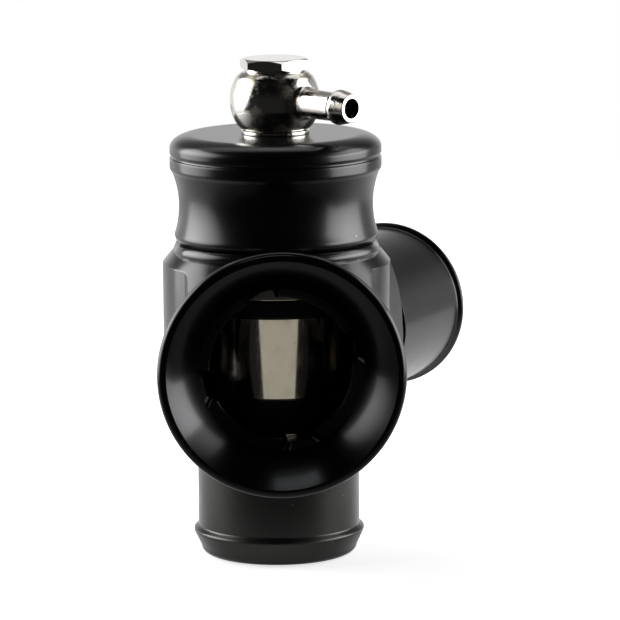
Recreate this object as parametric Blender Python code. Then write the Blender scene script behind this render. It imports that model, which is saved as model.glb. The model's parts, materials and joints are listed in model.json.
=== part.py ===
"""A blow off valve with a vent trumpet, a return outlet and a hose inlet.

Metres, +Z up along the valve's own axis. The valve stands on the nose of its inlet,
and the middle of its outline lies over the origin. The trumpet points along -Y.
"""
import math

import bpy
import bmesh
from mathutils import Matrix

# Gaps and mesh fineness
SEAT_GAP = 0.0003
RUN_GAP = 0.0003
TURN_STEPS = 32
RING_STEPS = 24
WIRE_SIDES = 6
BALL_STEPS = 26
NIPPLE_STEPS = 16
HOLE_STEPS = 10
CUT_PAST = 0.0010

# Hose ends, shared by the inlet and the outlet
HOSE_R = 0.0190
HOSE_WALL = 0.0034
BEAD_RISE = 0.00107
BEAD_FROM_END = 0.0058
BEAD_FILLET = 0.0013
NOSE_STEP = 0.0028
NOSE_TAPER = 0.00065
NOSE_ROUND = 0.0018
INLET_REACH = 0.0250
OUTLET_REACH = 0.0718
OUTLET_TURN = math.radians(26.2)

# The threaded neck and collar that the trumpet, the outlet and the inlet share
NECK_STEP = 0.0005
NECK_WALL = 0.0021
NECK_DEPTH = 0.0044
COLLAR_STEP = 0.0022
COLLAR_THICKNESS = 0.0010
PORT_RING_WIRE = 0.0006
RELIEF_START = 0.0043
RELIEF_LENGTH = 0.0025
RELIEF_DEPTH = 0.0016
EDGE_BEVEL = 0.0003
NOTCH_WIDTH = 0.0084
NOTCH_DEPTH = 0.0016
NOTCH_TURN = math.radians(14.4)
NOTCHES = 4
HOLE_OVER_NOTCH = 0.0001

# Trumpet
TRUMPET_REACH = 0.0390
TRUMPET_RIM_R = 0.02845
THROAT_STEP = 0.0026
THROAT_START = 0.0029
THROAT_LENGTH = 0.0030
LIP_ROUND = 0.0011
LIP_LAND = 0.00075
TRUMPET_WALL = 0.0020

# Piston, its guide bands and its seals
PISTON_OVER_NECK = 0.0009
PISTON_WALL = 0.0015
CROWN_THICKNESS = 0.0030
PISTON_OVERLAP = 0.00405
BAND_PROUD = 0.0002
BAND_THICKNESS = 0.0008
BAND_SPLIT = math.radians(4)
UPPER_BAND_ABOVE_PORT = 0.00985
UPPER_BAND_HEIGHT = 0.0043
LOWER_BAND_BELOW_PORT = 0.0090
LOWER_BAND_MARGIN = 0.0013
PISTON_RING_WIRE = 0.0009
PISTON_RING_FROM_TOP = 0.0030
PISTON_BEVEL = 0.0004
FACE_SEAL_WIRE = 0.0008

# Body
BARREL_WALL = 0.0068
PORT_LAND = 0.0013
PORT_SILL = 0.00135
CAP_SILL = 0.00075
BAR_WALL = 0.0008
BAR_FILLET = 0.0060
CORNER_MARGIN = 0.0003
FOOT_WALL = 0.0013
FOOT_STEP = 0.0014
TUCK_R = 0.0090
BODY_RIM_WALL = 0.0011
SEAT_STANDS_UP = 0.0004

# Cap
CAP_THREAD_DEPTH = 0.0052
CAP_SPIGOT_WALL = 0.0017
CAP_RING_WIRE = 0.0006
WAIST_WALL = 0.0028
WAIST_ARC_R = 0.0210
WAIST_ABOVE_BASE = 0.0090
WAIST_RISE = 0.0080
BASE_ROUND = 0.0018
BASE_RISE = 0.0023
CAP_RIM_STEP = 0.00205
RIM_HEIGHT = 0.0032
GROOVE_DEPTH = 0.0005
GROOVE_WIDTH = 0.0009
DOME_STRAIGHT = 0.0013
DOME_ROUND_OUT = 0.0055
DOME_ROUND_UP = 0.0032
ROOM_ABOVE_PISTON = 0.0055
PISTON_STROKE = 0.0125
ROOF_THICKNESS = 0.0049

# Spring and its two seat washers
SPRING_SIDE_ROOM = 0.0034
SPRING_WIRE_R = 0.0010
SPRING_TURNS = 5
END_TURN_GAP = 0.0001
SPRING_SEAT_THICKNESS = 0.0008
SPRING_SEAT_HALF_WIDTH = 0.0020
SPRING_SEAT_PLAY = 0.0003

# Banjo fitting, its hollow bolt and washers
BOLT_R = 0.00485
BOLT_HOLE_R = 0.0020
BOLT_REACH = 0.0039
BOLT_NECK_R = 0.0041
CROSS_HOLE_R = 0.0012
HEX_CORNER_R = 0.00845
HEX_THICKNESS = 0.0023
HEX_CHAMFER = 0.0006
BOLT_BEVEL = 0.0005
HEX_TURN = math.radians(11)
BALL_R = 0.01054
BALL_HEIGHT = 0.0129
BALL_END_R = 0.0076
BALL_BEVEL = 0.0006
GALLERY_R = 0.0064
GALLERY_HALF = 0.0020
UPPER_WASHER_THICKNESS = 0.00045
LOWER_WASHER_THICKNESS = 0.00075
UPPER_WASHER_R = 0.0071
LOWER_WASHER_R = 0.0080
NIPPLE_TURN = math.radians(48)
NIPPLE_REACH = 0.0255
STEM_R = 0.00335
BARB_R = 0.00408
BARB_LENGTH = 0.0057
BARB_CREST = 0.0038
NIPPLE_END_R = 0.00325
NIPPLE_BORE_R = 0.0023
STEM_FILLET = 0.0013

# Sizes that follow from the ones above
HOSE_BORE_R = HOSE_R - HOSE_WALL
NOSE_R = HOSE_R - NOSE_STEP
NOSE_TAPER_R = HOSE_R - NOSE_TAPER
NECK_R = HOSE_R - NECK_STEP
PISTON_R = NECK_R + PISTON_OVER_NECK
FACE_SEAL_R = (HOSE_BORE_R + NECK_R) / 2
COLLAR_R = NECK_R + COLLAR_STEP
THREAD_HOLE_R = NECK_R + SEAT_GAP
GLAND_R = NECK_R + 2 * PORT_RING_WIRE + 2 * SEAT_GAP
GLAND_DEPTH = 2 * PORT_RING_WIRE + SEAT_GAP
PORT_HOLE_R = NECK_R - NECK_WALL + NOTCH_DEPTH + HOLE_OVER_NOTCH
BAND_R = PISTON_R + BAND_PROUD
BORE_R = BAND_R + RUN_GAP
PISTON_RING_GROOVE_R = BAND_R - 2 * PISTON_RING_WIRE - SEAT_GAP
PISTON_INNER_R = PISTON_RING_GROOVE_R - PISTON_WALL
SPRING_R = PISTON_INNER_R - SPRING_SIDE_ROOM
BARREL_R = BORE_R + BARREL_WALL
BAR_HALF = GLAND_R + BAR_WALL
PORT_FACE = BORE_R + PORT_LAND + NECK_DEPTH
FOOT_Z = INLET_REACH
SEAT_Z = FOOT_Z + NECK_DEPTH
BORE_FLOOR_Z = SEAT_Z - SEAT_STANDS_UP
PISTON_FOOT_Z = SEAT_Z + 2 * SEAT_GAP
PORT_Z = SEAT_Z + PORT_HOLE_R + PORT_SILL
CAP_FLOOR_Z = PORT_Z + THREAD_HOLE_R + CAP_SILL
BODY_TOP_Z = CAP_FLOOR_Z + CAP_THREAD_DEPTH
PISTON_TOP_Z = PORT_Z + PORT_HOLE_R + PISTON_OVERLAP
SPIGOT_R = BORE_R + CAP_SPIGOT_WALL
CAP_HOLE_R = SPIGOT_R + SEAT_GAP
BODY_RIM_R = CAP_HOLE_R + BODY_RIM_WALL
FOOT_R = GLAND_R + FOOT_WALL
BELLY_R = math.hypot(BAR_HALF, PORT_FACE) + CORNER_MARGIN
CAP_BASE_Z = BODY_TOP_Z + SEAT_GAP
WAIST_Z = CAP_BASE_Z + WAIST_ABOVE_BASE
WAIST_R = BORE_R + WAIST_WALL
CAP_RIM_R = WAIST_R + CAP_RIM_STEP
RIM_Z = WAIST_Z + WAIST_RISE
DOME_Z = RIM_Z + RIM_HEIGHT + GROOVE_WIDTH
CAP_TOP_Z = DOME_Z + DOME_STRAIGHT + DOME_ROUND_UP
CAP_ROOM_Z = PISTON_TOP_Z + PISTON_STROKE + ROOM_ABOVE_PISTON
POCKET_Z = CAP_TOP_Z - ROOF_THICKNESS
POCKET_R = SPRING_R + SPRING_SEAT_HALF_WIDTH + SPRING_SEAT_PLAY
LOWER_WASHER_Z = CAP_TOP_Z + SEAT_GAP
BALL_FOOT_Z = LOWER_WASHER_Z + LOWER_WASHER_THICKNESS + RUN_GAP
BALL_Z = BALL_FOOT_Z + BALL_HEIGHT / 2
UPPER_WASHER_Z = BALL_FOOT_Z + BALL_HEIGHT + RUN_GAP
HEX_Z = UPPER_WASHER_Z + UPPER_WASHER_THICKNESS + SEAT_GAP
BOLT_CLEAR_R = BOLT_R + SEAT_GAP
OUTLET_WAY = (math.sin(OUTLET_TURN), math.cos(OUTLET_TURN))


def clear_scene():
    for old in list(bpy.data.objects):
        bpy.data.objects.remove(old, do_unlink=True)


def finish(name, colour, metallic, roughness):
    """A plain surface finish for one kind of material."""
    made = bpy.data.materials.new(name)
    made.use_nodes = True
    shader = made.node_tree.nodes["Principled BSDF"]
    shader.inputs["Base Color"].default_value = (*colour, 1.0)
    shader.inputs["Metallic"].default_value = metallic
    shader.inputs["Roughness"].default_value = roughness
    return made


def add_object(name, bm, material, parent, at=(0, 0, 0), turn=(0, 0, 0)):
    """Turn a bmesh into a smooth-shaded object with sharp creases."""
    bmesh.ops.recalc_face_normals(bm, faces=bm.faces)
    mesh = bpy.data.meshes.new(name)
    bm.to_mesh(mesh)
    bm.free()
    mesh.shade_smooth()
    mesh.set_sharp_from_angle(angle=math.radians(35))
    made = bpy.data.objects.new(name, mesh)
    bpy.context.collection.objects.link(made)
    if material:
        mesh.materials.append(material)
    made.location = at
    made.rotation_euler = turn
    made.parent = parent
    return made


def arc(centre_r, centre_z, size_r, size_z, start, end, steps):
    """Points of an elliptic arc in the plane of a turned outline."""
    points = []
    for i in range(steps + 1):
        angle = start + (end - start) * i / steps
        points.append((centre_r + size_r * math.cos(angle), centre_z + size_z * math.sin(angle)))
    return points


def turned_mesh(outline, steps=TURN_STEPS, sweep=2 * math.pi):
    """Spin a closed outline of (radius, height) points about Z."""
    bm = bmesh.new()
    verts = [bm.verts.new((r, 0.0, z)) for r, z in outline]
    edges = []
    for before, after in zip(verts[-1:] + verts[:-1], verts):
        if before.co.x > 0 or after.co.x > 0:
            edges.append(bm.edges.new((before, after)))
    whole = sweep > 6.28
    bmesh.ops.spin(bm, geom=verts + edges, cent=(0, 0, 0), axis=(0, 0, 1),
                   angle=sweep, steps=steps, use_merge=whole)
    bmesh.ops.remove_doubles(bm, verts=bm.verts, dist=1e-7)
    if not whole:
        bmesh.ops.holes_fill(bm, edges=bm.edges, sides=0)
    return bm


def ring_mesh(ring_r, wire_r, height):
    """A seal ring of round section."""
    section = arc(ring_r, height, wire_r, wire_r, 0, 2 * math.pi, WIRE_SIDES)[:-1]
    return turned_mesh(section, RING_STEPS)


def washer_mesh(inner_r, outer_r, low, high):
    return turned_mesh([(inner_r, low), (outer_r, low), (outer_r, high), (inner_r, high)], RING_STEPS)


def cutter(name, bm, parent, at=(0, 0, 0), turn=(0, 0, 0)):
    made = add_object(name, bm, None, parent, at, turn)
    made.hide_render = True
    made.display_type = "WIRE"
    return made


def combine(target, tool, operation):
    step = target.modifiers.new(tool.name, "BOOLEAN")
    step.object = tool
    step.operation = operation
    step.solver = "EXACT"


def shoulder_arc():
    """The turned arc that runs from the body's rim out to its belly: centre radius and size."""
    step_in = BELLY_R - BODY_RIM_R
    rise = BODY_TOP_Z - PORT_Z
    size = (step_in ** 2 + rise ** 2) / (2 * step_in)
    return BELLY_R - size, size


def body_outline():
    """The body seen from above: a barrel with two square-sided bars, as (x, y, share of bar)."""
    corner_x = BAR_HALF + BAR_FILLET
    corner_y = math.sqrt((BARREL_R + BAR_FILLET) ** 2 - corner_x ** 2)
    tangent = math.atan2(corner_x, corner_y)
    half = []
    face_steps = 4
    for i in range(face_steps):
        half.append((BAR_HALF * i / face_steps, PORT_FACE, 1.0))
    wall_steps = 2
    for i in range(wall_steps):
        half.append((BAR_HALF, PORT_FACE + (corner_y - PORT_FACE) * i / wall_steps, 1.0))
    fillet_steps = 3
    for i in range(fillet_steps + 1):
        share = i / fillet_steps
        angle = math.pi + share * (math.pi / 2 - tangent)
        fillet_x = corner_x + BAR_FILLET * math.cos(angle)
        fillet_y = corner_y + BAR_FILLET * math.sin(angle)
        half.append((fillet_x, fillet_y, 1 - share))

    def placed(x, y, bar, way, side):
        """A point across and along a bar that runs at the angle way."""
        across = side * x
        along_x = across * math.cos(way) + y * math.sin(way)
        along_y = y * math.cos(way) - across * math.sin(way)
        return along_x, along_y, bar

    front = math.pi
    back = OUTLET_TURN
    outline = [placed(x, y, bar, back, 1) for x, y, bar in half]
    outline += barrel_points(back + tangent, front - tangent)
    outline += [placed(x, y, bar, front, -1) for x, y, bar in reversed(half[1:])]
    outline += [placed(x, y, bar, front, 1) for x, y, bar in half]
    outline += barrel_points(front + tangent, back + 2 * math.pi - tangent)
    outline += [placed(x, y, bar, back, -1) for x, y, bar in reversed(half[1:])]
    return outline


def barrel_points(start, end):
    """Points of the bare barrel between two bars, their ends left out."""
    count = round((end - start) / math.radians(10))
    points = []
    for i in range(1, count):
        angle = start + (end - start) * i / count
        points.append((BARREL_R * math.sin(angle), BARREL_R * math.cos(angle), 0.0))
    return points


def body_column(x, y, bar):
    """One upright row of points on the body's skin, from the rim down to the foot."""
    centre_r, size = shoulder_arc()
    reach = math.hypot(x, y)
    spread = []
    upper_steps = 4
    for i in range(upper_steps + 1):
        r = BODY_RIM_R + (reach - BODY_RIM_R) * math.sin(i / upper_steps * math.pi / 2)
        spread.append((r, PORT_Z + math.sqrt(size ** 2 - (r - centre_r) ** 2)))
    foot_top = FOOT_Z + FOOT_STEP
    tuck_centre_r = BARREL_R - TUCK_R
    tuck_centre_z = foot_top + math.sqrt(TUCK_R ** 2 - (FOOT_R - tuck_centre_r) ** 2)
    lower_steps = 3
    for i in range(lower_steps, -1, -1):
        r = FOOT_R + (reach - FOOT_R) * math.sin(i / lower_steps * math.pi / 2)
        under_bar = max(foot_top, PORT_Z - math.sqrt(size ** 2 - (r - centre_r) ** 2))
        tuck_r = min(r - tuck_centre_r, TUCK_R)
        under_barrel = tuck_centre_z - math.sqrt(TUCK_R ** 2 - tuck_r ** 2)
        spread.append((r, bar * under_bar + (1 - bar) * under_barrel))
    spread.append((FOOT_R, FOOT_Z))
    return [(x / reach * r, y / reach * r, z) for r, z in spread]


def body_mesh():
    """The billet body before boring: upright columns of points joined all round."""
    bm = bmesh.new()
    columns = [[bm.verts.new(p) for p in body_column(x, y, bar)] for x, y, bar in body_outline()]
    for left, right in zip(columns, columns[1:] + columns[:1]):
        for i in range(len(left) - 1):
            bm.faces.new((left[i], right[i], right[i + 1], left[i + 1]))
    bm.faces.new([column[0] for column in columns])
    bm.faces.new([column[-1] for column in reversed(columns)])
    return bm


def upright_bore():
    """The cut for the inlet's thread, the piston and the cap."""
    gland_top = FOOT_Z + GLAND_DEPTH
    return turned_mesh([
        (0, FOOT_Z - CUT_PAST), (GLAND_R, FOOT_Z - CUT_PAST), (GLAND_R, gland_top),
        (THREAD_HOLE_R, gland_top), (THREAD_HOLE_R, BORE_FLOOR_Z), (BORE_R, BORE_FLOOR_Z),
        (BORE_R, CAP_FLOOR_Z),
        (CAP_HOLE_R, CAP_FLOOR_Z), (CAP_HOLE_R, BODY_TOP_Z + CUT_PAST), (0, BODY_TOP_Z + CUT_PAST)])


def port_bore():
    """The stepped cut for one side port, outwards from the valve's axis."""
    thread_floor = PORT_FACE - NECK_DEPTH - SEAT_GAP
    gland_floor = PORT_FACE - GLAND_DEPTH
    return turned_mesh([
        (0, 0), (PORT_HOLE_R, 0), (PORT_HOLE_R, thread_floor), (THREAD_HOLE_R, thread_floor),
        (THREAD_HOLE_R, gland_floor), (GLAND_R, gland_floor), (GLAND_R, PORT_FACE + CUT_PAST),
        (0, PORT_FACE + CUT_PAST)])


def neck_outline(face, bore_r):
    """The outline of the threaded neck and collar, from the bore's inner end outwards."""
    collar = face + SEAT_GAP
    return [(bore_r, face - NECK_DEPTH), (NECK_R, face - NECK_DEPTH), (NECK_R, collar),
            (COLLAR_R, collar), (COLLAR_R, collar + COLLAR_THICKNESS)]


def hose_nose(end):
    """The outside of a hose end: fillet, bead, taper and rounded nose."""
    bead_r = HOSE_R + BEAD_RISE
    points = []
    fillet_steps = 2
    for i in range(fillet_steps + 1):
        share = i / fillet_steps
        points.append((HOSE_R + BEAD_RISE * share ** 2, end - BEAD_FROM_END - BEAD_FILLET * (1 - share)))
    points += arc(NOSE_R, end - NOSE_ROUND, NOSE_TAPER_R - NOSE_R, NOSE_ROUND, 0, math.pi / 2, 3)
    points[fillet_steps] = (bead_r, end - BEAD_FROM_END)
    return points


def inlet_outline():
    """The inlet's closed outline, with distances measured down from the body's middle."""
    face = PORT_Z - FOOT_Z
    points = neck_outline(face, HOSE_BORE_R)
    points.append((HOSE_R, face + SEAT_GAP + COLLAR_THICKNESS + COLLAR_R - HOSE_R))
    return points + hose_nose(PORT_Z) + [(HOSE_BORE_R, PORT_Z)]


def outlet_outline():
    """The outlet's closed outline, with distances measured out from the valve's axis."""
    relief = PORT_FACE + RELIEF_START
    relief_r = HOSE_R - RELIEF_DEPTH
    points = neck_outline(PORT_FACE, HOSE_BORE_R)
    points += [(HOSE_R, relief - EDGE_BEVEL), (HOSE_R - EDGE_BEVEL, relief), (relief_r, relief),
               (relief_r, relief + RELIEF_LENGTH), (HOSE_R - EDGE_BEVEL, relief + RELIEF_LENGTH),
               (HOSE_R, relief + RELIEF_LENGTH + EDGE_BEVEL)]
    return points + hose_nose(OUTLET_REACH) + [(HOSE_BORE_R, OUTLET_REACH)]


def trumpet_outline():
    """The trumpet's closed outline: neck, ring face, throat, bell and rolled lip."""
    bore_r = NECK_R - NECK_WALL
    throat_r = bore_r + THROAT_STEP
    ring_face = PORT_FACE + THROAT_START
    bell_start = ring_face + THROAT_LENGTH
    crest_r = TRUMPET_RIM_R - LIP_ROUND - LIP_LAND
    bell_out = crest_r - throat_r
    bell_up = TRUMPET_REACH - bell_start
    points = neck_outline(PORT_FACE, bore_r)
    back_foot = bell_start - LIP_ROUND / 2
    back_r = throat_r + TRUMPET_WALL
    back_top = TRUMPET_REACH - LIP_ROUND - TRUMPET_WALL * 0.75
    skirt_r = TRUMPET_RIM_R - LIP_ROUND * 0.8
    points += arc(skirt_r, back_foot, back_r - skirt_r, back_top - back_foot, 0, math.pi / 2, 4)
    points += arc(TRUMPET_RIM_R - LIP_ROUND, TRUMPET_REACH - LIP_ROUND, LIP_ROUND, LIP_ROUND,
                  -math.pi / 4, math.pi / 2, 3)
    points += arc(crest_r, bell_start, -bell_out, bell_up, math.pi / 2, 0, 6)
    points += [(throat_r, ring_face), (bore_r, ring_face)]
    return points


def notch_mesh(start, end):
    """Four blocks that cut the spanner notches, spaced round the bore."""
    bm = bmesh.new()
    bore_r = NECK_R - NECK_WALL
    tip = bore_r + NOTCH_DEPTH
    root = bore_r * 0.8
    for i in range(NOTCHES):
        made = bmesh.ops.create_cube(bm, size=1.0)["verts"]
        size = Matrix.Diagonal((NOTCH_WIDTH, tip - root, end - start, 1))
        place = Matrix.Translation((0, -(tip + root) / 2, (start + end) / 2))
        around = Matrix.Rotation(NOTCH_TURN + i * 2 * math.pi / NOTCHES, 4, "Z")
        bmesh.ops.transform(bm, matrix=around @ place @ size, verts=made)
    return bm


def piston_outline():
    """The piston's closed outline: a cup with an open top and four grooves."""
    groove_r = BAND_R - BAND_THICKNESS - SEAT_GAP
    low_a, low_b = lower_band_span()
    up_a, up_b = upper_band_span()
    ring_z = PISTON_TOP_Z - PISTON_RING_FROM_TOP
    ring_half = PISTON_RING_WIRE + SEAT_GAP
    seal_in = FACE_SEAL_R - FACE_SEAL_WIRE - SEAT_GAP
    seal_out = FACE_SEAL_R + FACE_SEAL_WIRE + SEAT_GAP
    seal_top = PISTON_FOOT_Z + 2 * FACE_SEAL_WIRE
    foot_r = PISTON_R - PISTON_BEVEL
    return [
        (0, PISTON_FOOT_Z), (seal_in, PISTON_FOOT_Z), (seal_in, seal_top), (seal_out, seal_top),
        (seal_out, PISTON_FOOT_Z), (foot_r, PISTON_FOOT_Z), (PISTON_R, PISTON_FOOT_Z + PISTON_BEVEL),
        (PISTON_R, low_a), (groove_r, low_a), (groove_r, low_b), (PISTON_R, low_b),
        (PISTON_R, up_a), (groove_r, up_a), (groove_r, up_b), (PISTON_R, up_b),
        (PISTON_R, ring_z - ring_half), (PISTON_RING_GROOVE_R, ring_z - ring_half),
        (PISTON_RING_GROOVE_R, ring_z + ring_half), (PISTON_R, ring_z + ring_half),
        (PISTON_R, PISTON_TOP_Z - PISTON_BEVEL), (foot_r, PISTON_TOP_Z), (PISTON_INNER_R, PISTON_TOP_Z),
        (PISTON_INNER_R, PISTON_FOOT_Z + CROWN_THICKNESS), (0, PISTON_FOOT_Z + CROWN_THICKNESS)]


def lower_band_span():
    return PISTON_FOOT_Z + LOWER_BAND_MARGIN, PORT_Z - LOWER_BAND_BELOW_PORT


def upper_band_span():
    low = PORT_Z + UPPER_BAND_ABOVE_PORT
    return low, low + UPPER_BAND_HEIGHT


def band_mesh(span):
    """A split guide band in its groove."""
    low, high = span[0] + SEAT_GAP, span[1] - SEAT_GAP
    inner_r = BAND_R - BAND_THICKNESS
    outline = [(inner_r, low), (BAND_R, low), (BAND_R, high), (inner_r, high)]
    return turned_mesh(outline, TURN_STEPS, 2 * math.pi - BAND_SPLIT)


def cap_outline():
    """The cap's closed outline: waisted skirt, grooved rim, dome, and the stepped room inside."""
    waist_arc_r = WAIST_R + WAIST_ARC_R
    start = math.pi + math.asin((WAIST_ABOVE_BASE - BASE_RISE) / WAIST_ARC_R)
    end = math.pi - math.asin(WAIST_RISE / WAIST_ARC_R)
    waist = arc(waist_arc_r, WAIST_Z, WAIST_ARC_R, WAIST_ARC_R, start, end, 6)
    base_r = waist[0][0]
    groove_low = RIM_Z + RIM_HEIGHT
    spigot_end = CAP_FLOOR_Z + 2 * CAP_RING_WIRE + 2 * SEAT_GAP
    points = [(BORE_R, spigot_end), (SPIGOT_R, spigot_end), (SPIGOT_R, CAP_BASE_Z)]
    points += arc(base_r - BASE_ROUND, CAP_BASE_Z + BASE_RISE, BASE_ROUND, BASE_RISE, -math.pi / 2, 0, 3)[:-1]
    points += waist
    points += [(CAP_RIM_R - EDGE_BEVEL, RIM_Z + EDGE_BEVEL), (CAP_RIM_R, RIM_Z + 2 * EDGE_BEVEL),
               (CAP_RIM_R, groove_low - EDGE_BEVEL), (CAP_RIM_R - GROOVE_DEPTH, groove_low),
               (CAP_RIM_R - GROOVE_DEPTH, DOME_Z - EDGE_BEVEL), (CAP_RIM_R, DOME_Z)]
    points += arc(CAP_RIM_R - DOME_ROUND_OUT, DOME_Z + DOME_STRAIGHT, DOME_ROUND_OUT, DOME_ROUND_UP,
                  0, math.pi / 2, 5)
    points += [(BOLT_CLEAR_R, CAP_TOP_Z), (BOLT_CLEAR_R, POCKET_Z), (POCKET_R, POCKET_Z),
               (POCKET_R, CAP_ROOM_Z + BORE_R - POCKET_R), (BORE_R, CAP_ROOM_Z)]
    return points


def spring_mesh():
    """A coil spring of round wire with its end turns laid flat."""
    low = PISTON_FOOT_Z + CROWN_THICKNESS + 2 * SEAT_GAP + SPRING_SEAT_THICKNESS + SPRING_WIRE_R
    high = POCKET_Z - 2 * SEAT_GAP - SPRING_SEAT_THICKNESS - SPRING_WIRE_R
    closed = 2 * SPRING_WIRE_R + END_TURN_GAP
    steps = 10
    total = SPRING_TURNS + 2
    bm = bmesh.new()
    rings = []
    for i in range(total * steps + 1):
        turn = i / steps
        open_share = min(max((turn - 1) / SPRING_TURNS, 0), 1)
        z = low + closed * min(turn, 1) + closed * max(turn - total + 1, 0)
        z += (high - low - 2 * closed) * open_share
        angle = 2 * math.pi * turn
        ring = []
        for k in range(WIRE_SIDES):
            around = 2 * math.pi * k / WIRE_SIDES
            r = SPRING_R + SPRING_WIRE_R * math.cos(around)
            rise = z + SPRING_WIRE_R * math.sin(around)
            ring.append(bm.verts.new((r * math.cos(angle), r * math.sin(angle), rise)))
        rings.append(ring)
    for before, after in zip(rings, rings[1:]):
        for k in range(WIRE_SIDES):
            bm.faces.new((before[k - 1], before[k], after[k], after[k - 1]))
    bm.faces.new(rings[0])
    bm.faces.new(rings[-1])
    return bm


def ball_outline():
    """The banjo's ball, cut flat above and below with eased edges."""
    half = BALL_HEIGHT / 2
    top = math.asin((half - BALL_BEVEL) / BALL_R)
    points = [(0, -half), (BALL_END_R, -half)]
    points += arc(0, 0, BALL_R, BALL_R, -top, top, 7)
    return points + [(BALL_END_R, half), (0, half)]


def nipple_outline():
    """The banjo's hose nipple, out from the bolt's axis: root fillet, stem and barb."""
    barb_foot = NIPPLE_REACH - BARB_LENGTH
    root = BALL_R * 0.5
    root_out = math.sqrt(BALL_R ** 2 - (STEM_R + STEM_FILLET) ** 2)
    crest = NIPPLE_REACH - BARB_CREST
    points = [(0, root), (STEM_R + STEM_FILLET, root), (STEM_R + STEM_FILLET, root_out)]
    points += arc(STEM_R + STEM_FILLET, root_out + STEM_FILLET, -STEM_FILLET, -STEM_FILLET, math.pi / 3, 0, 2)
    points += [(STEM_R, barb_foot), (BARB_R - EDGE_BEVEL, crest - EDGE_BEVEL), (BARB_R, crest),
               (NIPPLE_END_R, NIPPLE_REACH - EDGE_BEVEL), (NIPPLE_END_R - EDGE_BEVEL, NIPPLE_REACH)]
    return points + [(0, NIPPLE_REACH)]


def banjo_bore():
    """The banjo's bolt hole with the gallery that feeds the nipple."""
    half = BALL_HEIGHT / 2 + CUT_PAST
    return turned_mesh([
        (0, -half), (BOLT_CLEAR_R, -half), (BOLT_CLEAR_R, -GALLERY_HALF), (GALLERY_R, -GALLERY_HALF),
        (GALLERY_R, GALLERY_HALF), (BOLT_CLEAR_R, GALLERY_HALF), (BOLT_CLEAR_R, half), (0, half)], RING_STEPS)


def bolt_outline():
    """The hollow bolt's shank, closed under its head."""
    tip = POCKET_Z + ROOF_THICKNESS - BOLT_REACH
    hole_top = BALL_Z + CROSS_HOLE_R + SEAT_GAP
    neck_half = GALLERY_HALF - BOLT_BEVEL
    into_head = HEX_Z + SEAT_GAP
    return [(0, hole_top + BOLT_HOLE_R / 2), (BOLT_HOLE_R, hole_top), (BOLT_HOLE_R, tip),
            (BOLT_R - BOLT_BEVEL, tip), (BOLT_R, tip + BOLT_BEVEL), (BOLT_R, BALL_Z - GALLERY_HALF),
            (BOLT_NECK_R, BALL_Z - neck_half), (BOLT_NECK_R, BALL_Z + neck_half),
            (BOLT_R, BALL_Z + GALLERY_HALF), (BOLT_R, into_head), (0, into_head)]


def hex_mesh():
    """The bolt head as a plain hexagon block."""
    bm = bmesh.new()
    turn = Matrix.Rotation(HEX_TURN, 4, "Z")
    place = Matrix.Translation((0, 0, HEX_Z + HEX_THICKNESS / 2))
    bmesh.ops.create_cone(bm, cap_ends=True, segments=6, radius1=HEX_CORNER_R, radius2=HEX_CORNER_R,
                          depth=HEX_THICKNESS, matrix=place @ turn)
    return bm


def hex_limit():
    """The turned shape that chamfers the head's corners, top and bottom."""
    top = HEX_Z + HEX_THICKNESS
    flat_r = HEX_CORNER_R * math.cos(math.pi / 6)
    out_r = HEX_CORNER_R + CUT_PAST
    slope = HEX_CHAMFER / (HEX_CORNER_R - flat_r)
    rise = slope * CUT_PAST
    return turned_mesh([
        (0, HEX_Z - rise), (flat_r - CUT_PAST, HEX_Z - rise), (out_r, HEX_Z + HEX_CHAMFER + rise),
        (out_r, top - HEX_CHAMFER - rise), (flat_r - CUT_PAST, top + rise), (0, top + rise)], RING_STEPS)


def outline_middle():
    """The middle of the valve's outline seen from above, to stand it over the origin."""
    bead = OUTLET_REACH - BEAD_FROM_END
    bead_r = HOSE_R + BEAD_RISE
    out_x, out_y = OUTLET_WAY
    right = max(bead * out_x + bead_r * out_y, TRUMPET_RIM_R)
    back = max(bead * out_y + bead_r * out_x, OUTLET_REACH * out_y + NOSE_R * out_x)
    return (right - TRUMPET_RIM_R) / 2, (back - TRUMPET_REACH) / 2


clear_scene()

black_satin = finish("black_anodised", (0.016, 0.016, 0.017), 0.6, 0.35)
black_gloss = finish("black_gloss", (0.010, 0.010, 0.011), 0.6, 0.16)
nickel = finish("bright_nickel", (0.62, 0.60, 0.56), 1.0, 0.18)
piston_nickel = finish("piston_nickel", (0.55, 0.51, 0.43), 1.0, 0.15)
rubber = finish("black_rubber", (0.012, 0.012, 0.012), 0.0, 0.7)
guide_plastic = finish("guide_plastic", (0.015, 0.015, 0.016), 0.0, 0.5)
spring_steel = finish("spring_steel", (0.42, 0.42, 0.42), 1.0, 0.3)
washer_steel = finish("washer_nickel", (0.60, 0.59, 0.56), 1.0, 0.25)

middle_x, middle_y = outline_middle()
valve = bpy.data.objects.new("valve_axis", None)
valve.location = (-middle_x, -middle_y, 0)
bpy.context.collection.objects.link(valve)

port_at = (0, 0, PORT_Z)
front_turn = (math.pi / 2, 0, 0)
outlet_turn = (-math.pi / 2, 0, -OUTLET_TURN)
down_turn = (math.pi, 0, 0)

body = add_object("body", body_mesh(), black_satin, valve)
combine(body, cutter("cut_upright_bore", upright_bore(), valve), "DIFFERENCE")
combine(body, cutter("cut_trumpet_port", port_bore(), valve, port_at, front_turn), "DIFFERENCE")
combine(body, cutter("cut_outlet_port", port_bore(), valve, port_at, outlet_turn), "DIFFERENCE")

trumpet = add_object("trumpet", turned_mesh(trumpet_outline()), black_gloss, valve, port_at, front_turn)
notch_cut = notch_mesh(PORT_FACE - NECK_DEPTH - CUT_PAST, PORT_FACE + THROAT_START + CUT_PAST)
combine(trumpet, cutter("cut_trumpet_notches", notch_cut, valve, port_at, front_turn), "DIFFERENCE")

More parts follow.
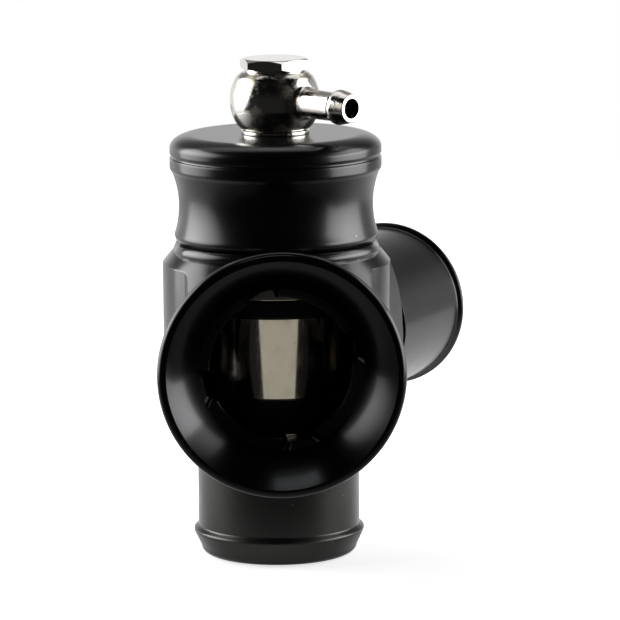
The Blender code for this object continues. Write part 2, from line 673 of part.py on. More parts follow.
outlet = add_object("outlet_spigot", turned_mesh(outlet_outline()), black_satin, valve, port_at, outlet_turn)
notch_cut = notch_mesh(PORT_FACE - NECK_DEPTH - CUT_PAST, PORT_FACE)
combine(outlet, cutter("cut_outlet_notches", notch_cut, valve, port_at, outlet_turn), "DIFFERENCE")

add_object("inlet_spigot", turned_mesh(inlet_outline()), black_satin, valve, port_at, down_turn)

gland_ring_r = NECK_R + SEAT_GAP + PORT_RING_WIRE
for ring_name, face, turn in (("trumpet_seal_ring", PORT_FACE, front_turn),
                              ("outlet_seal_ring", PORT_FACE, outlet_turn),
                              ("inlet_seal_ring", PORT_Z - FOOT_Z, down_turn)):
    ring = ring_mesh(gland_ring_r, PORT_RING_WIRE, face - GLAND_DEPTH / 2 + SEAT_GAP / 2)
    add_object(ring_name, ring, rubber, valve, port_at, turn)

add_object("cap", turned_mesh(cap_outline()), black_gloss, valve)
cap_ring_r = (BORE_R + CAP_HOLE_R) / 2
add_object("cap_seal_ring", ring_mesh(cap_ring_r, CAP_RING_WIRE, CAP_FLOOR_Z + SEAT_GAP + CAP_RING_WIRE),
           rubber, valve)

add_object("piston", turned_mesh(piston_outline()), piston_nickel, valve)
band_turn = (0, 0, math.pi - OUTLET_TURN / 2)
add_object("piston_upper_band", band_mesh(upper_band_span()), guide_plastic, valve, turn=band_turn)
add_object("piston_lower_band", band_mesh(lower_band_span()), guide_plastic, valve, turn=band_turn)
ring_z = PISTON_TOP_Z - PISTON_RING_FROM_TOP
add_object("piston_seal_ring", ring_mesh(BAND_R - PISTON_RING_WIRE, PISTON_RING_WIRE, ring_z), rubber, valve)
face_seal_z = PISTON_FOOT_Z - SEAT_GAP + FACE_SEAL_WIRE
add_object("piston_face_seal", ring_mesh(FACE_SEAL_R, FACE_SEAL_WIRE, face_seal_z), rubber, valve)

add_object("piston_spring", spring_mesh(), spring_steel, valve)
seat_in = SPRING_R - SPRING_SEAT_HALF_WIDTH
seat_out = SPRING_R + SPRING_SEAT_HALF_WIDTH
lower_seat_z = PISTON_FOOT_Z + CROWN_THICKNESS + SEAT_GAP
upper_seat_z = POCKET_Z - SEAT_GAP - SPRING_SEAT_THICKNESS
for seat_name, low in (("lower_spring_seat", lower_seat_z), ("upper_spring_seat", upper_seat_z)):
    seat = washer_mesh(seat_in, seat_out, low, low + SPRING_SEAT_THICKNESS)
    add_object(seat_name, seat, spring_steel, valve)

ball_at = (0, 0, BALL_Z)
nipple_turn = (math.pi / 2, 0, math.pi / 2 - NIPPLE_TURN)
banjo = add_object("banjo_fitting", turned_mesh(ball_outline(), BALL_STEPS), nickel, valve, ball_at)
nipple = cutter("nipple_block", turned_mesh(nipple_outline(), NIPPLE_STEPS), valve, ball_at, nipple_turn)
combine(banjo, nipple, "UNION")
combine(banjo, cutter("cut_bolt_hole", banjo_bore(), valve, ball_at), "DIFFERENCE")
nipple_bore = turned_mesh([(0, BOLT_R), (NIPPLE_BORE_R, BOLT_R), (NIPPLE_BORE_R, NIPPLE_REACH + CUT_PAST),
                           (0, NIPPLE_REACH + CUT_PAST)], NIPPLE_STEPS)
combine(banjo, cutter("cut_nipple_bore", nipple_bore, valve, ball_at, nipple_turn), "DIFFERENCE")

bolt = add_object("banjo_bolt", turned_mesh(bolt_outline(), RING_STEPS), nickel, valve)
hexagon = cutter("hexagon_block", hex_mesh(), valve)
combine(hexagon, cutter("hexagon_limit", hex_limit(), valve), "INTERSECT")
combine(bolt, hexagon, "UNION")
cross_hole = turned_mesh([(0, -BOLT_R), (CROSS_HOLE_R, -BOLT_R), (CROSS_HOLE_R, BOLT_R), (0, BOLT_R)],
                         HOLE_STEPS)
combine(bolt, cutter("cut_cross_hole", cross_hole, valve, ball_at, nipple_turn), "DIFFERENCE")

washer_in = BOLT_CLEAR_R
for washer_name, outer_r, low, thickness in (
        ("banjo_lower_washer", LOWER_WASHER_R, LOWER_WASHER_Z, LOWER_WASHER_THICKNESS),
        ("banjo_upper_washer", UPPER_WASHER_R, UPPER_WASHER_Z, UPPER_WASHER_THICKNESS)):
    add_object(washer_name, washer_mesh(washer_in, outer_r, low, low + thickness), washer_steel, valve)
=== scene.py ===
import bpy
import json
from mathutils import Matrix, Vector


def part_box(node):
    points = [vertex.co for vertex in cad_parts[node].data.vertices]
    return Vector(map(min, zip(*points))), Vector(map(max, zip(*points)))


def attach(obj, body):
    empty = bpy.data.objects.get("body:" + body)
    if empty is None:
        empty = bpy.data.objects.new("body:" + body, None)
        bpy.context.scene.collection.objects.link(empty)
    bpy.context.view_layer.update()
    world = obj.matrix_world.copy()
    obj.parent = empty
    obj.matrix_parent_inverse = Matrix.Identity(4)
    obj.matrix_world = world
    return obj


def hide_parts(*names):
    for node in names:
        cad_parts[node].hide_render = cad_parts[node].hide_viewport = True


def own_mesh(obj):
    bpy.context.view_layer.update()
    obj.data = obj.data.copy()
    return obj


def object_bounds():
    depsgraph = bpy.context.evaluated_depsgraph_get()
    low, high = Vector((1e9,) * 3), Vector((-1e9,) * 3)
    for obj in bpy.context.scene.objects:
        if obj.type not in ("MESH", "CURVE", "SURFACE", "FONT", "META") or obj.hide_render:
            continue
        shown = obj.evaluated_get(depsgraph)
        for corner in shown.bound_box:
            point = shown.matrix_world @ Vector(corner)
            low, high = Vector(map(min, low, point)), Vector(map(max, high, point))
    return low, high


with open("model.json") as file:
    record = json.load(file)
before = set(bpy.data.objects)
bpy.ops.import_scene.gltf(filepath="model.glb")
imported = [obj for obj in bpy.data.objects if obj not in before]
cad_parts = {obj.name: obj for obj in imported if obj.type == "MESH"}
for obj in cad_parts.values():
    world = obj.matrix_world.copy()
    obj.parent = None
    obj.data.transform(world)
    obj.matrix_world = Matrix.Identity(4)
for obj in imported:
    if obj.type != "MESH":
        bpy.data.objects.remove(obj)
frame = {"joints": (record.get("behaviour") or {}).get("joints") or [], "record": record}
cad_box = [list(corner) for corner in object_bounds()]

import json
import math

import bmesh
import bpy
from mathutils import Matrix, Vector

# The frame gives the valve's upright axis, its port height and the way out of each port.
# The valve stands on the nose of its inlet, and the trumpet faces -Y, towards the camera.
MM = 0.001
joints = {joint["name"]: joint for joint in frame["joints"]}
mounts = {mount["name"]: mount for mount in frame["record"]["mounts"]}
axis_x, axis_y, ball_z = joints["banjo_swivel"]["pos_m"]
port_z = mounts["trumpet_rim"]["pos_m"][2]
outlet_way = Vector(mounts["outlet_end"]["axis"])
outlet_turn = math.atan2(outlet_way.x, outlet_way.y)
on_axis = Matrix.Translation((axis_x, axis_y, 0))
at_ports = Matrix.Translation((axis_x, axis_y, port_z))
out_front = at_ports @ Matrix.Rotation(math.pi / 2, 4, "X")
out_back = at_ports @ Matrix.Rotation(-outlet_turn, 4, "Z") @ Matrix.Rotation(-math.pi / 2, 4, "X")


# The body: one billet of aluminium, turned above and below, milled square at its two port bars,
# bored upright for the piston and sideways for both ports, then bead blasted and anodised black.
BARREL_R = 26.7 * MM
BAR_HALF = 21.1 * MM
PORT_FACE = 25.6 * MM
BAR_FILLET = 6.0 * MM
CORNER_EASE = 0.3 * MM
RIM_R = 23.0 * MM
RIDGE_R = 24.2 * MM
RIDGE_ROUND = 1.9 * MM
RIDGE_TOP = math.radians(52)
RIDGE_FOOT = math.radians(-18)
RIDGE_SWELL = 0.9 * MM
RIDGE_LIFT = 0.7 * MM
SWELL_FROM = 0.12
SWELL_SPAN = 0.35
SHOULDER_R = 34.48 * MM
SHOULDER_IN = -1.0 * MM
BODY_EASE = 0.18 * MM
FOOT_R = 21.6 * MM
FOOT_STEP = 1.4 * MM
TUCK_R = 9.0 * MM
PORT_HOLE_R = 18.1 * MM
GLAND_R = 20.3 * MM
GLAND_DEPTH = 1.5 * MM
THREAD_R = 18.8 * MM
FOOT_THREAD_DEPTH = 4.0 * MM
BORE_R = 19.9 * MM
CAP_HOLE_R = 21.9 * MM
CAP_HOLE_DEPTH = 5.2 * MM
NECK_DEPTH = 4.4 * MM
GAP = 0.3 * MM
CENTRE = 1e-5
SEAM = 1e-6
FINE_STEPS = 144
GRAIN_DEPTH = 0.03 * MM
TOOL_DEPTH = 0.02 * MM
DUST_COLOUR = (0.55, 0.55, 0.53)
DUST_SHARE = 0.25
body_low, body_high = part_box("body")
foot_z, top_z = body_low.z, body_high.z


def feed(tree, node, **inputs):
    """Give a node its inputs. A socket is linked and a value is set, and i0 means the first input."""
    for key, value in inputs.items():
        by_number = key[0] == "i" and key[1:].isdigit()
        socket = node.inputs[int(key[1:]) if by_number else key.replace("_", " ")]
        if isinstance(value, bpy.types.NodeSocket):
            tree.links.new(value, socket)
        else:
            socket.default_value = value
    return node


def put(tree, kind, settings=None, **inputs):
    """Add a node with its options and its inputs."""
    node = tree.nodes.new(kind)
    for option, value in (settings or {}).items():
        setattr(node, option, value)
    return feed(tree, node, **inputs)


def maths(tree, operation, first, second=0.0, third=0.0):
    """One calculation with numbers or sockets."""
    return put(tree, "ShaderNodeMath", {"operation": operation}, i0=first, i1=second, i2=third).outputs[0]


def ramp(tree, value, low, high, start=0.0, end=1.0, kind="LINEAR"):
    """A value that goes from start to end while the given one goes from low to high."""
    return put(tree, "ShaderNodeMapRange", {"interpolation_type": kind}, Value=value, From_Min=low,
               From_Max=high, To_Min=start, To_Max=end).outputs[0]


def between(tree, share, first, second):
    """A colour that goes from the first to the second."""
    mixed = put(tree, "ShaderNodeMix", {"data_type": "RGBA"}, Factor=share, i6=(*first, 1), i7=(*second, 1))
    return mixed.outputs[2]


def noise(tree, vector, scale, **more):
    """Soft noise from 0 to 1."""
    return put(tree, "ShaderNodeTexNoise", Vector=vector, Scale=scale, **more).outputs["Fac"]


def bump(tree, height, strength, depth, **more):
    """Relief that is so deep, in metres, on top of another Normal where one is given."""
    return put(tree, "ShaderNodeBump", Height=height, Strength=strength, Distance=depth, **more).outputs[0]


def new_group(family, name, inputs, outputs):
    """An empty Shader or Geometry node group with named sockets, and its two end nodes."""
    group = bpy.data.node_groups.new(name, family + "NodeTree")
    for label, kind, *value in inputs:
        socket = group.interface.new_socket(label, in_out="INPUT", socket_type="NodeSocket" + kind)
        if value:
            socket.default_value = value[0]
    for label, kind in outputs:
        group.interface.new_socket(label, in_out="OUTPUT", socket_type="NodeSocket" + kind)
    return group, group.nodes.new("NodeGroupInput"), group.nodes.new("NodeGroupOutput")


def blasted_grain_group():
    """Fine matt grain of bead blasting, with soft cloudiness and a few specks of dust."""
    group, source, sink = new_group(
        "Shader", "blasted_grain", [("Vector", "Vector"), ("Grain Size", "Float", 0.16 * MM)],
        [("Height", "Float"), ("Cloud", "Float"), ("Dust", "Float")])
    vector = source.outputs["Vector"]
    scale = maths(group, "DIVIDE", 1.0, source.outputs["Grain Size"])
    fine = noise(group, vector, scale, Detail=2.0, Roughness=0.6)
    cells = put(group, "ShaderNodeTexVoronoi", {"feature": "F1"}, Vector=vector, Scale=330.0)
    near = maths(group, "LESS_THAN", cells.outputs["Distance"], 0.055)
    chance = put(group, "ShaderNodeSeparateColor", Color=cells.outputs["Color"])
    few = maths(group, "GREATER_THAN", chance.outputs["Red"], 0.86)
    feed(group, sink, Height=fine, Cloud=noise(group, vector, 90.0, Detail=3.0),
         Dust=maths(group, "MULTIPLY", near, few))
    return group


def lathe_marks_group():
    """Faint rings left by the turning tool, round the local Z axis."""
    group, source, sink = new_group(
        "Shader", "lathe_marks", [("Vector", "Vector"), ("Pitch", "Float", 0.12 * MM)], [("Height", "Float")])
    spot = put(group, "ShaderNodeSeparateXYZ", Vector=source.outputs["Vector"])
    flat = put(group, "ShaderNodeCombineXYZ", X=spot.outputs["X"], Y=spot.outputs["Y"])
    out = put(group, "ShaderNodeVectorMath", {"operation": "LENGTH"}, i0=flat.outputs[0])
    along = maths(group, "ADD", out.outputs["Value"], spot.outputs["Z"])
    turns = maths(group, "DIVIDE", along, source.outputs["Pitch"])
    rings = put(group, "ShaderNodeTexNoise", {"noise_dimensions": "1D"}, W=turns, Scale=1.0, Detail=2.0)
    feed(group, sink, Height=rings.outputs["Fac"])
    return group


blasted_grain = blasted_grain_group()
lathe_marks = lathe_marks_group()


def new_finish(name):
    """A new material, its node tree and its shader."""
    made = bpy.data.materials.new(name)
    made.use_nodes = True
    return made, made.node_tree, made.node_tree.nodes["Principled BSDF"]


def object_coordinates(tree):
    """Where a point lies in its object."""
    return put(tree, "ShaderNodeTexCoord").outputs["Object"]


def local_coordinates(tree, place):
    """Object coordinates seen from a piece's own axis, given its placing matrix."""
    return put(tree, "ShaderNodeMapping", {"vector_type": "TEXTURE"}, Vector=object_coordinates(tree),
               Location=place.to_translation(), Rotation=place.to_euler()).outputs["Vector"]


def anodised(name, place, colour, roughness, grain, rings, coat, spread=0.08):
    """Black anodised aluminium: dyed skin over metal, with grain, tool rings and rare dust."""
    made, tree, shader = new_finish(name)
    vector = local_coordinates(tree, place)
    skin = put(tree, "ShaderNodeGroup", {"node_tree": blasted_grain}, Vector=vector)
    marks = put(tree, "ShaderNodeGroup", {"node_tree": lathe_marks}, Vector=vector)
    dust = maths(tree, "MULTIPLY", skin.outputs["Dust"], DUST_SHARE)
    relief = bump(tree, skin.outputs["Height"], grain, GRAIN_DEPTH)
    least, most = roughness - spread / 2, roughness + spread / 2
    feed(tree, shader, Base_Color=between(tree, dust, colour, DUST_COLOUR),
         Roughness=ramp(tree, skin.outputs["Cloud"], 0.3, 0.7, least, most),
         Normal=bump(tree, marks.outputs["Height"], rings, TOOL_DEPTH, Normal=relief),
         Metallic=0.97, IOR=1.6, Coat_Weight=coat, Coat_Roughness=0.06)
    return made


def arc(centre_r, centre_z, size_r, size_z, start, end, steps):
    """Points of an elliptic arc in the plane of a turned outline."""
    points = []
    for i in range(steps + 1):
        angle = start + (end - start) * i / steps
        points.append((centre_r + size_r * math.cos(angle), centre_z + size_z * math.sin(angle)))
    return points


def eased(outline, steps=3):
    """Round the corners of a closed outline. A corner is (radius, height) or (radius, height, ease)."""
    points = []
    for i, corner in enumerate(outline):
        here = Vector(corner[:2])
        if len(corner) == 2:
            points.append(tuple(here))
            continue
        before = Vector(outline[i - 1][:2]) - here
        after = Vector(outline[(i + 1) % len(outline)][:2]) - here
        start = here + before.normalized() * min(corner[2], before.length * 0.45)
        end = here + after.normalized() * min(corner[2], after.length * 0.45)
        for k in range(steps + 1):
            t = k / steps
            points.append(tuple(start * (1 - t) ** 2 + here * 2 * t * (1 - t) + end * t ** 2))
    return points


def swept_and_painted(group, source, path, profile, fill=False):
    """The last nodes of a shape: a profile swept along a path, merged, made real and given its finish."""
    swept = put(group, "GeometryNodeCurveToMesh", Curve=path.outputs["Curve"],
                Profile_Curve=profile.outputs["Curve"], Fill_Caps=fill)
    merged = put(group, "GeometryNodeMergeByDistance", Geometry=swept.outputs["Mesh"], Distance=SEAM)
    real = put(group, "GeometryNodeRealizeInstances", Geometry=merged.outputs["Geometry"])
    painted = put(group, "GeometryNodeSetMaterial", Geometry=real.outputs["Geometry"],
                  Material=source.outputs["Finish"])
    return painted.outputs["Geometry"]


def turned_piece_tree():
    """Geometry Nodes: a flat closed outline is swept round a circle and its seam is merged."""
    group, source, sink = new_group("Geometry", "turned_piece", [
        ("Outline", "Geometry"), ("Steps", "Int"), ("Spin Radius", "Float"), ("Finish", "Material")],
        [("Turned", "Geometry")])
    outline = put(group, "GeometryNodeMeshToCurve", Mesh=source.outputs["Outline"])
    circle = put(group, "GeometryNodeCurvePrimitiveCircle", Resolution=source.outputs["Steps"],
                 Radius=source.outputs["Spin Radius"])
    feed(group, sink, Turned=swept_and_painted(group, source, circle, outline))
    return group


turned_piece = turned_piece_tree()


def in_scene(name, data):
    """A new object of a mesh, lamp or lens, linked into the scene."""
    made = bpy.data.objects.new(name, data)
    bpy.context.collection.objects.link(made)
    return made


def with_nodes(made, group, **values):
    """Add a Geometry Nodes group to an object, and set its inputs by name."""
    live = made.modifiers.new(group.name, "NODES")
    live.node_group = group
    sockets = {item.name: item.identifier for item in group.interface.items_tree}
    for label, value in values.items():
        live[sockets[label.replace("_", " ")]] = value


def mesh_of(name, bm):
    """A new mesh with what a bmesh holds, facing outwards."""
    bmesh.ops.recalc_face_normals(bm, faces=bm.faces)
    mesh = bpy.data.meshes.new(name)
    bm.to_mesh(mesh)
    bm.free()
    return mesh


def applied(made):
    """Make an object's modifiers part of its mesh."""
    bpy.context.view_layer.update()
    graph = bpy.context.evaluated_depsgraph_get()
    made.data = bpy.data.meshes.new_from_object(made.evaluated_get(graph), depsgraph=graph)
    made.modifiers.clear()
    return made


def plain_mesh(made, place, crease=30):
    """Turn a live object into a plain mesh with its place in it, facing outwards, and shade it."""
    mesh = applied(made).data
    mesh.transform(place)
    bm = bmesh.new()
    bm.from_mesh(mesh)
    bmesh.ops.recalc_face_normals(bm, faces=bm.faces)
    bm.to_mesh(mesh)
    bm.free()
    mesh.shade_smooth()
    mesh.set_sharp_from_angle(angle=math.radians(crease))
    return made


def turn(name, outline, place, finish=None, steps=FINE_STEPS):
    """Spin a closed (radius, height) outline with the turned_piece nodes."""
    reach = max(r for r, z in outline)
    count = len(outline)
    mesh = bpy.data.meshes.new(name)
    edges = [(i, (i + 1) % count) for i in range(count)]
    mesh.from_pydata([(r - reach, -z, 0) for r, z in outline], edges, [])
    made = in_scene(name, mesh)
    with_nodes(made, turned_piece, Steps=steps, Spin_Radius=reach, Finish=finish)
    return plain_mesh(made, place)


def cut(target, tools, operation="DIFFERENCE"):
    """Combine a piece with other solids, apply it, and drop the tools."""
    for tool in tools:
        step = target.modifiers.new(tool.name, "BOOLEAN")
        step.object = tool
        step.operation = operation
        step.solver = "EXACT"
    plain_mesh(target, Matrix.Identity(4))
    for tool in tools:
        bpy.data.objects.remove(tool)
    return target


def even_normals(made):
    """Let the large faces rule the shading, so that flats stay flat beside small eased edges."""
    weigh = made.modifiers.new("even", "WEIGHTED_NORMAL")
    weigh.keep_sharp = True
    return applied(made)


def body_half_outline():
    """Half of the plan of one bar and its fillet, as (across, out, share of bar) from its middle."""
    corner_x = BAR_HALF + BAR_FILLET
    corner_y = math.sqrt((BARREL_R + BAR_FILLET) ** 2 - corner_x ** 2)
    tangent = math.atan2(corner_x, corner_y)
    ease_x, ease_y = BAR_HALF - CORNER_EASE, PORT_FACE - CORNER_EASE
    flat = [(ease_x * i / 16, PORT_FACE) for i in range(17)]
    corner = arc(ease_x, ease_y, CORNER_EASE, CORNER_EASE, math.pi / 2, 0, 4)[1:]
    side = [(BAR_HALF, ease_y + (corner_y - ease_y) * i / 8) for i in range(1, 8)]
    fillet = arc(corner_x, corner_y, BAR_FILLET, BAR_FILLET, math.pi, 1.5 * math.pi - tangent, 12)
    half = [(x, y, 1.0) for x, y in flat + corner + side]
    return half + [(x, y, 1 - i / 12) for i, (x, y) in enumerate(fillet)], tangent


def body_outline():
    """The whole plan of the body: two bars and the two bare stretches of barrel between them."""
    half, tangent = body_half_outline()

    def bar(heading):
        both = [(-x, y, share) for x, y, share in reversed(half[1:])] + half
        c, s = math.cos(heading), math.sin(heading)
        return [(x * c + y * s, y * c - x * s, share) for x, y, share in both]

    def barrel(start, end):
        count = round((end - start) / math.radians(3))
        headings = [start + (end - start) * i / count for i in range(1, count)]
        return [(BARREL_R * math.sin(heading), BARREL_R * math.cos(heading), 0.0) for heading in headings]

    front, back = math.pi, outlet_turn
    return (bar(back) + barrel(back + tangent, front - tangent)
            + bar(front) + barrel(front + tangent, back + 2 * math.pi - tangent))


def body_column(x, y, bar):
    """One upright row of points: rim, ridge, turned shoulder, eased edge, milled wall, tuck and foot.

    The ridge under the cap swells at the front and the back, and dies out towards the sides.
    """
    reach = math.hypot(x, y)
    inner = reach - BODY_EASE

    def shoulder(r):
        return math.sqrt(SHOULDER_R ** 2 - (r - SHOULDER_IN) ** 2)

    def under(r):
        below = port_z - shoulder(r)
        tuck_in = min(r - BARREL_R + TUCK_R, TUCK_R)
        tuck_z = foot_z + FOOT_STEP + math.sqrt(TUCK_R ** 2 - (FOOT_R - BARREL_R + TUCK_R) ** 2)
        round_z = tuck_z - math.sqrt(TUCK_R ** 2 - tuck_in ** 2)
        return bar * max(foot_z + FOOT_STEP, below) + (1 - bar) * round_z

    swell = min(max((abs(y) / reach - SWELL_FROM) / SWELL_SPAN, 0), 1)
    rim_top = top_z + RIDGE_LIFT * swell
    ridge_r = RIDGE_R + RIDGE_SWELL * swell - RIDGE_ROUND
    ridge_z = rim_top - RIDGE_ROUND * math.sin(RIDGE_TOP)
    column = [(RIM_R - BODY_EASE, rim_top)]
    column += arc(ridge_r, ridge_z, RIDGE_ROUND, RIDGE_ROUND, RIDGE_TOP, RIDGE_FOOT, 12)
    ridge_foot = column[-1][0]
    for i in range(15):
        r = ridge_foot + (inner - ridge_foot) * math.sin(i / 14 * math.pi / 2)
        column.append((r, port_z + shoulder(r)))
    wall_top = port_z + shoulder(reach) - BODY_EASE
    column.append((reach - BODY_EASE * 0.3, (column[-1][1] + wall_top) / 2 + BODY_EASE * 0.2))
    column.append((reach, wall_top))
    edge = BODY_EASE * max(bar, 0.1)
    column.append((reach, under(reach) + edge))
    for i in range(14, -1, -1):
        r = FOOT_R + (reach - edge - FOOT_R) * math.sin(i / 14 * math.pi / 2)
        column.append((r, under(r)))
    column += [(FOOT_R, foot_z + BODY_EASE), (FOOT_R - BODY_EASE, foot_z)]
    return [(x / reach * r, y / reach * r, z) for r, z in column]


def port_cutter(name, place):
    """The stepped cut of one side port: hole, thread and ring gland."""
    thread_end = PORT_FACE - NECK_DEPTH - GAP
    gland_floor = PORT_FACE - GLAND_DEPTH
    past_face = PORT_FACE + MM
    return turn(name, [(CENTRE, 0), (PORT_HOLE_R, 0), (PORT_HOLE_R, thread_end), (THREAD_R, thread_end),
                       (THREAD_R, gland_floor), (GLAND_R, gland_floor), (GLAND_R, past_face),
                       (CENTRE, past_face)], place)


body_black = anodised("black_billet", on_axis, (0.045, 0.045, 0.046), 0.21, grain=0.10, rings=0.05, coat=0.05)
columns = [body_column(*point) for point in body_outline()]
body_bm = bmesh.new()
rows = [[body_bm.verts.new(p) for p in column] for column in columns]
for left, right in zip(rows, rows[1:] + rows[:1]):
    for i in range(len(left) - 1):
        body_bm.faces.new((left[i], right[i], right[i + 1], left[i + 1]))
body_bm.faces.new([row[0] for row in rows])
body_bm.faces.new([row[-1] for row in reversed(rows)])
body_mesh = mesh_of("billet_body", body_bm)
body_mesh.materials.append(body_black)
billet_body = plain_mesh(in_scene("billet_body", body_mesh), on_axis)
gland_roof = foot_z + GLAND_DEPTH
thread_roof = foot_z + FOOT_THREAD_DEPTH
cap_hole_floor = top_z - CAP_HOLE_DEPTH
upright_bore = turn("upright_bore", [
    (CENTRE, foot_z - MM), (GLAND_R, foot_z - MM), (GLAND_R, gland_roof), (THREAD_R, gland_roof),
    (THREAD_R, thread_roof), (BORE_R, thread_roof), (BORE_R, cap_hole_floor),
    (CAP_HOLE_R, cap_hole_floor), (CAP_HOLE_R, top_z + MM), (CENTRE, top_z + MM)], on_axis)
cut(billet_body, [upright_bore, port_cutter("front_port", out_front), port_cutter("back_port", out_back)])
even_normals(billet_body)
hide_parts("body")
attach(billet_body, "valve_body")


# The inlet: a hose end turned from bar, with a beaded nose, screwed up into the foot of the body.
# Its upper ring is the seat that the piston's face seal closes on.
HOSE_R = 19.0 * MM
HOSE_BORE_R = 15.6 * MM
NECK_R = 18.5 * MM
THREAD_TURNS = 5
THREAD_PITCH = 0.5 * MM
THREAD_CUT = 0.12 * MM
THREAD_LEAD = 0.4 * MM
THREAD_RELIEF = 1.4 * MM
COLLAR_R = 20.7 * MM
COLLAR_THICKNESS = 1.0 * MM
BEAD_R = 20.07 * MM
BEAD_FROM_END = 5.8 * MM
BEAD_FILLET = 1.2 * MM
BEAD_LAND = 0.5 * MM
NOSE_R = 16.2 * MM
NOSE_TAPER_R = 18.35 * MM
NOSE_ROUND = 1.8 * MM
inlet_reach = port_z
inlet_face = port_z - foot_z
out_below = at_ports @ Matrix.Rotation(math.pi, 4, "X")


def threaded_neck(face, bore_r):
    """The screwed-in end that every port piece shares, from its bore out to its collar."""
    start = face - NECK_DEPTH
    root = NECK_R - THREAD_CUT
    points = [(bore_r, start, 0.3 * MM), (root, start, 0.2 * MM)]
    for i in range(THREAD_TURNS):
        low = start + THREAD_LEAD + i * THREAD_PITCH
        points += [(root, low), (NECK_R, low + THREAD_PITCH / 2)]
    points += [(root, start + THREAD_LEAD + THREAD_TURNS * THREAD_PITCH), (NECK_R, face - THREAD_RELIEF)]
    return points + [(NECK_R, face + GAP), (COLLAR_R, face + GAP, 0.15 * MM),
                     (COLLAR_R, face + GAP + COLLAR_THICKNESS, 0.2 * MM)]


def hose_nose(end):
    """The outside of a hose end: fillet, bead crest, taper and rounded nose."""
    crest = end - BEAD_FROM_END
    points = []
    for i in range(8):
        rise = (1 - math.cos(i / 8 * math.pi)) / 2
        points.append((HOSE_R + (BEAD_R - HOSE_R) * rise, crest - BEAD_FILLET * (1 - i / 8)))
    points += [(BEAD_R, crest), (BEAD_R - 0.02 * MM, crest + BEAD_LAND, 0.3 * MM)]
    return points + arc(NOSE_R, end - NOSE_ROUND, NOSE_TAPER_R - NOSE_R, NOSE_ROUND, 0, math.pi / 2, 10)


inlet_black = anodised("black_inlet", out_below, (0.050, 0.050, 0.048), 0.30,
                       grain=0.12, rings=0.08, coat=0.05)
inlet_outline = threaded_neck(inlet_face, HOSE_BORE_R)
inlet_outline.append((HOSE_R, inlet_face + GAP + COLLAR_THICKNESS + COLLAR_R - HOSE_R, 0.6 * MM))
inlet_outline += hose_nose(inlet_reach) + [(HOSE_BORE_R, inlet_reach, 0.25 * MM)]
inlet_end = even_normals(turn("inlet_hose_end", eased(inlet_outline), out_below, inlet_black))
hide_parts("inlet_spigot")
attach(inlet_end, "valve_body")


# The outlet: the same hose end, longer, with a relief groove behind its collar and four spanner
# notches inside its neck. It is screwed into the back port and returns air to the intake.
RELIEF_START = 4.3 * MM
RELIEF_LENGTH = 2.5 * MM
RELIEF_R = 17.4 * MM
NOTCH_WIDTH = 6.0 * MM
NOTCH_TIP_R = 18.0 * MM
NOTCH_TURN = math.radians(14.4)
NOTCH_EASE = 1.1 * MM
NOTCH_BREAK = 1.6 * MM
PORT_BORE_R = 16.4 * MM
outlet_reach = (Vector(mounts["outlet_end"]["pos_m"]) - Vector((axis_x, axis_y, port_z))).dot(outlet_way)


def notch_cutters(name, place, start, end, face):
    """Four round-cornered blocks that mill the spanner notches, and break their edges at the face."""
    blocks = []
    half = NOTCH_WIDTH / 2
    root = PORT_BORE_R * 0.75
    section = [(-half, root)]
    for side, first in ((-1, math.pi), (1, math.pi / 2)):
        section += arc(side * (half - NOTCH_EASE), NOTCH_TIP_R - NOTCH_EASE, NOTCH_EASE, NOTCH_EASE,
                       first, first - math.pi / 2, 6)
    section.append((half, root))
    for k in range(4):
        bm = bmesh.new()
        rings = []
        for height, grown in ((start, 0), (face - NOTCH_BREAK, 0), (end, end - face + NOTCH_BREAK)):
            wide, tall = 1 + grown / half, 1 + grown / (NOTCH_TIP_R - root)
            rings.append([bm.verts.new((x * wide, -root - (y - root) * tall, height)) for x, y in section])
        bm.faces.new(rings[0])
        bm.faces.new(rings[-1])
        for below, above in zip(rings, rings[1:]):
            for i in range(len(section)):
                after = (i + 1) % len(section)
                bm.faces.new((below[i], below[after], above[after], above[i]))
        mesh = mesh_of(f"{name}_{k}", bm)
        mesh.transform(place @ Matrix.Rotation(NOTCH_TURN + k * math.pi / 2, 4, "Z"))
        blocks.append(in_scene(mesh.name, mesh))
    return blocks


outlet_black = anodised("black_outlet", out_back, (0.046, 0.046, 0.046), 0.22,
                        grain=0.30, rings=0.04, coat=0.05)
relief = PORT_FACE + RELIEF_START
neck_foot = PORT_FACE - NECK_DEPTH - MM
outlet_outline = threaded_neck(PORT_FACE, HOSE_BORE_R)
outlet_outline += [(HOSE_R, relief, 0.15 * MM), (RELIEF_R, relief, 0.3 * MM),
                   (RELIEF_R, relief + RELIEF_LENGTH, 0.3 * MM), (HOSE_R, relief + RELIEF_LENGTH, 0.35 * MM)]
outlet_outline += hose_nose(outlet_reach) + [(HOSE_BORE_R, outlet_reach, 0.25 * MM)]
outlet_end = turn("outlet_hose_end", eased(outlet_outline), out_back, outlet_black)
cut(outlet_end, notch_cutters("outlet_notch", out_back, neck_foot, PORT_FACE, PORT_FACE + MM))
even_normals(outlet_end)
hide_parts("outlet_spigot")
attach(outlet_end, "valve_body")


# The trumpet: a bell turned from bar and polished before its black anodising. It is screwed into
# the front port by the four notches in its throat, and lets the spent air out.
TRUMPET_RIM_R = 28.45 * MM
THROAT_R = 19.0 * MM
RING_FACE = PORT_FACE + 2.9 * MM
BELL_START = RING_FACE + 3.0 * MM
LIP_ROUND = 1.6 * MM
LIP_LAND = 0.25 * MM
LIP_INNER_ROUND = 0.4 * MM
FLARE_FIRST = math.radians(41)
FLARE_LAST = math.radians(53)
RING_SLOPE = 0.9 * MM
TRUMPET_WALL = 2.0 * MM
trumpet_reach = axis_y - mounts["trumpet_rim"]["pos_m"][1]

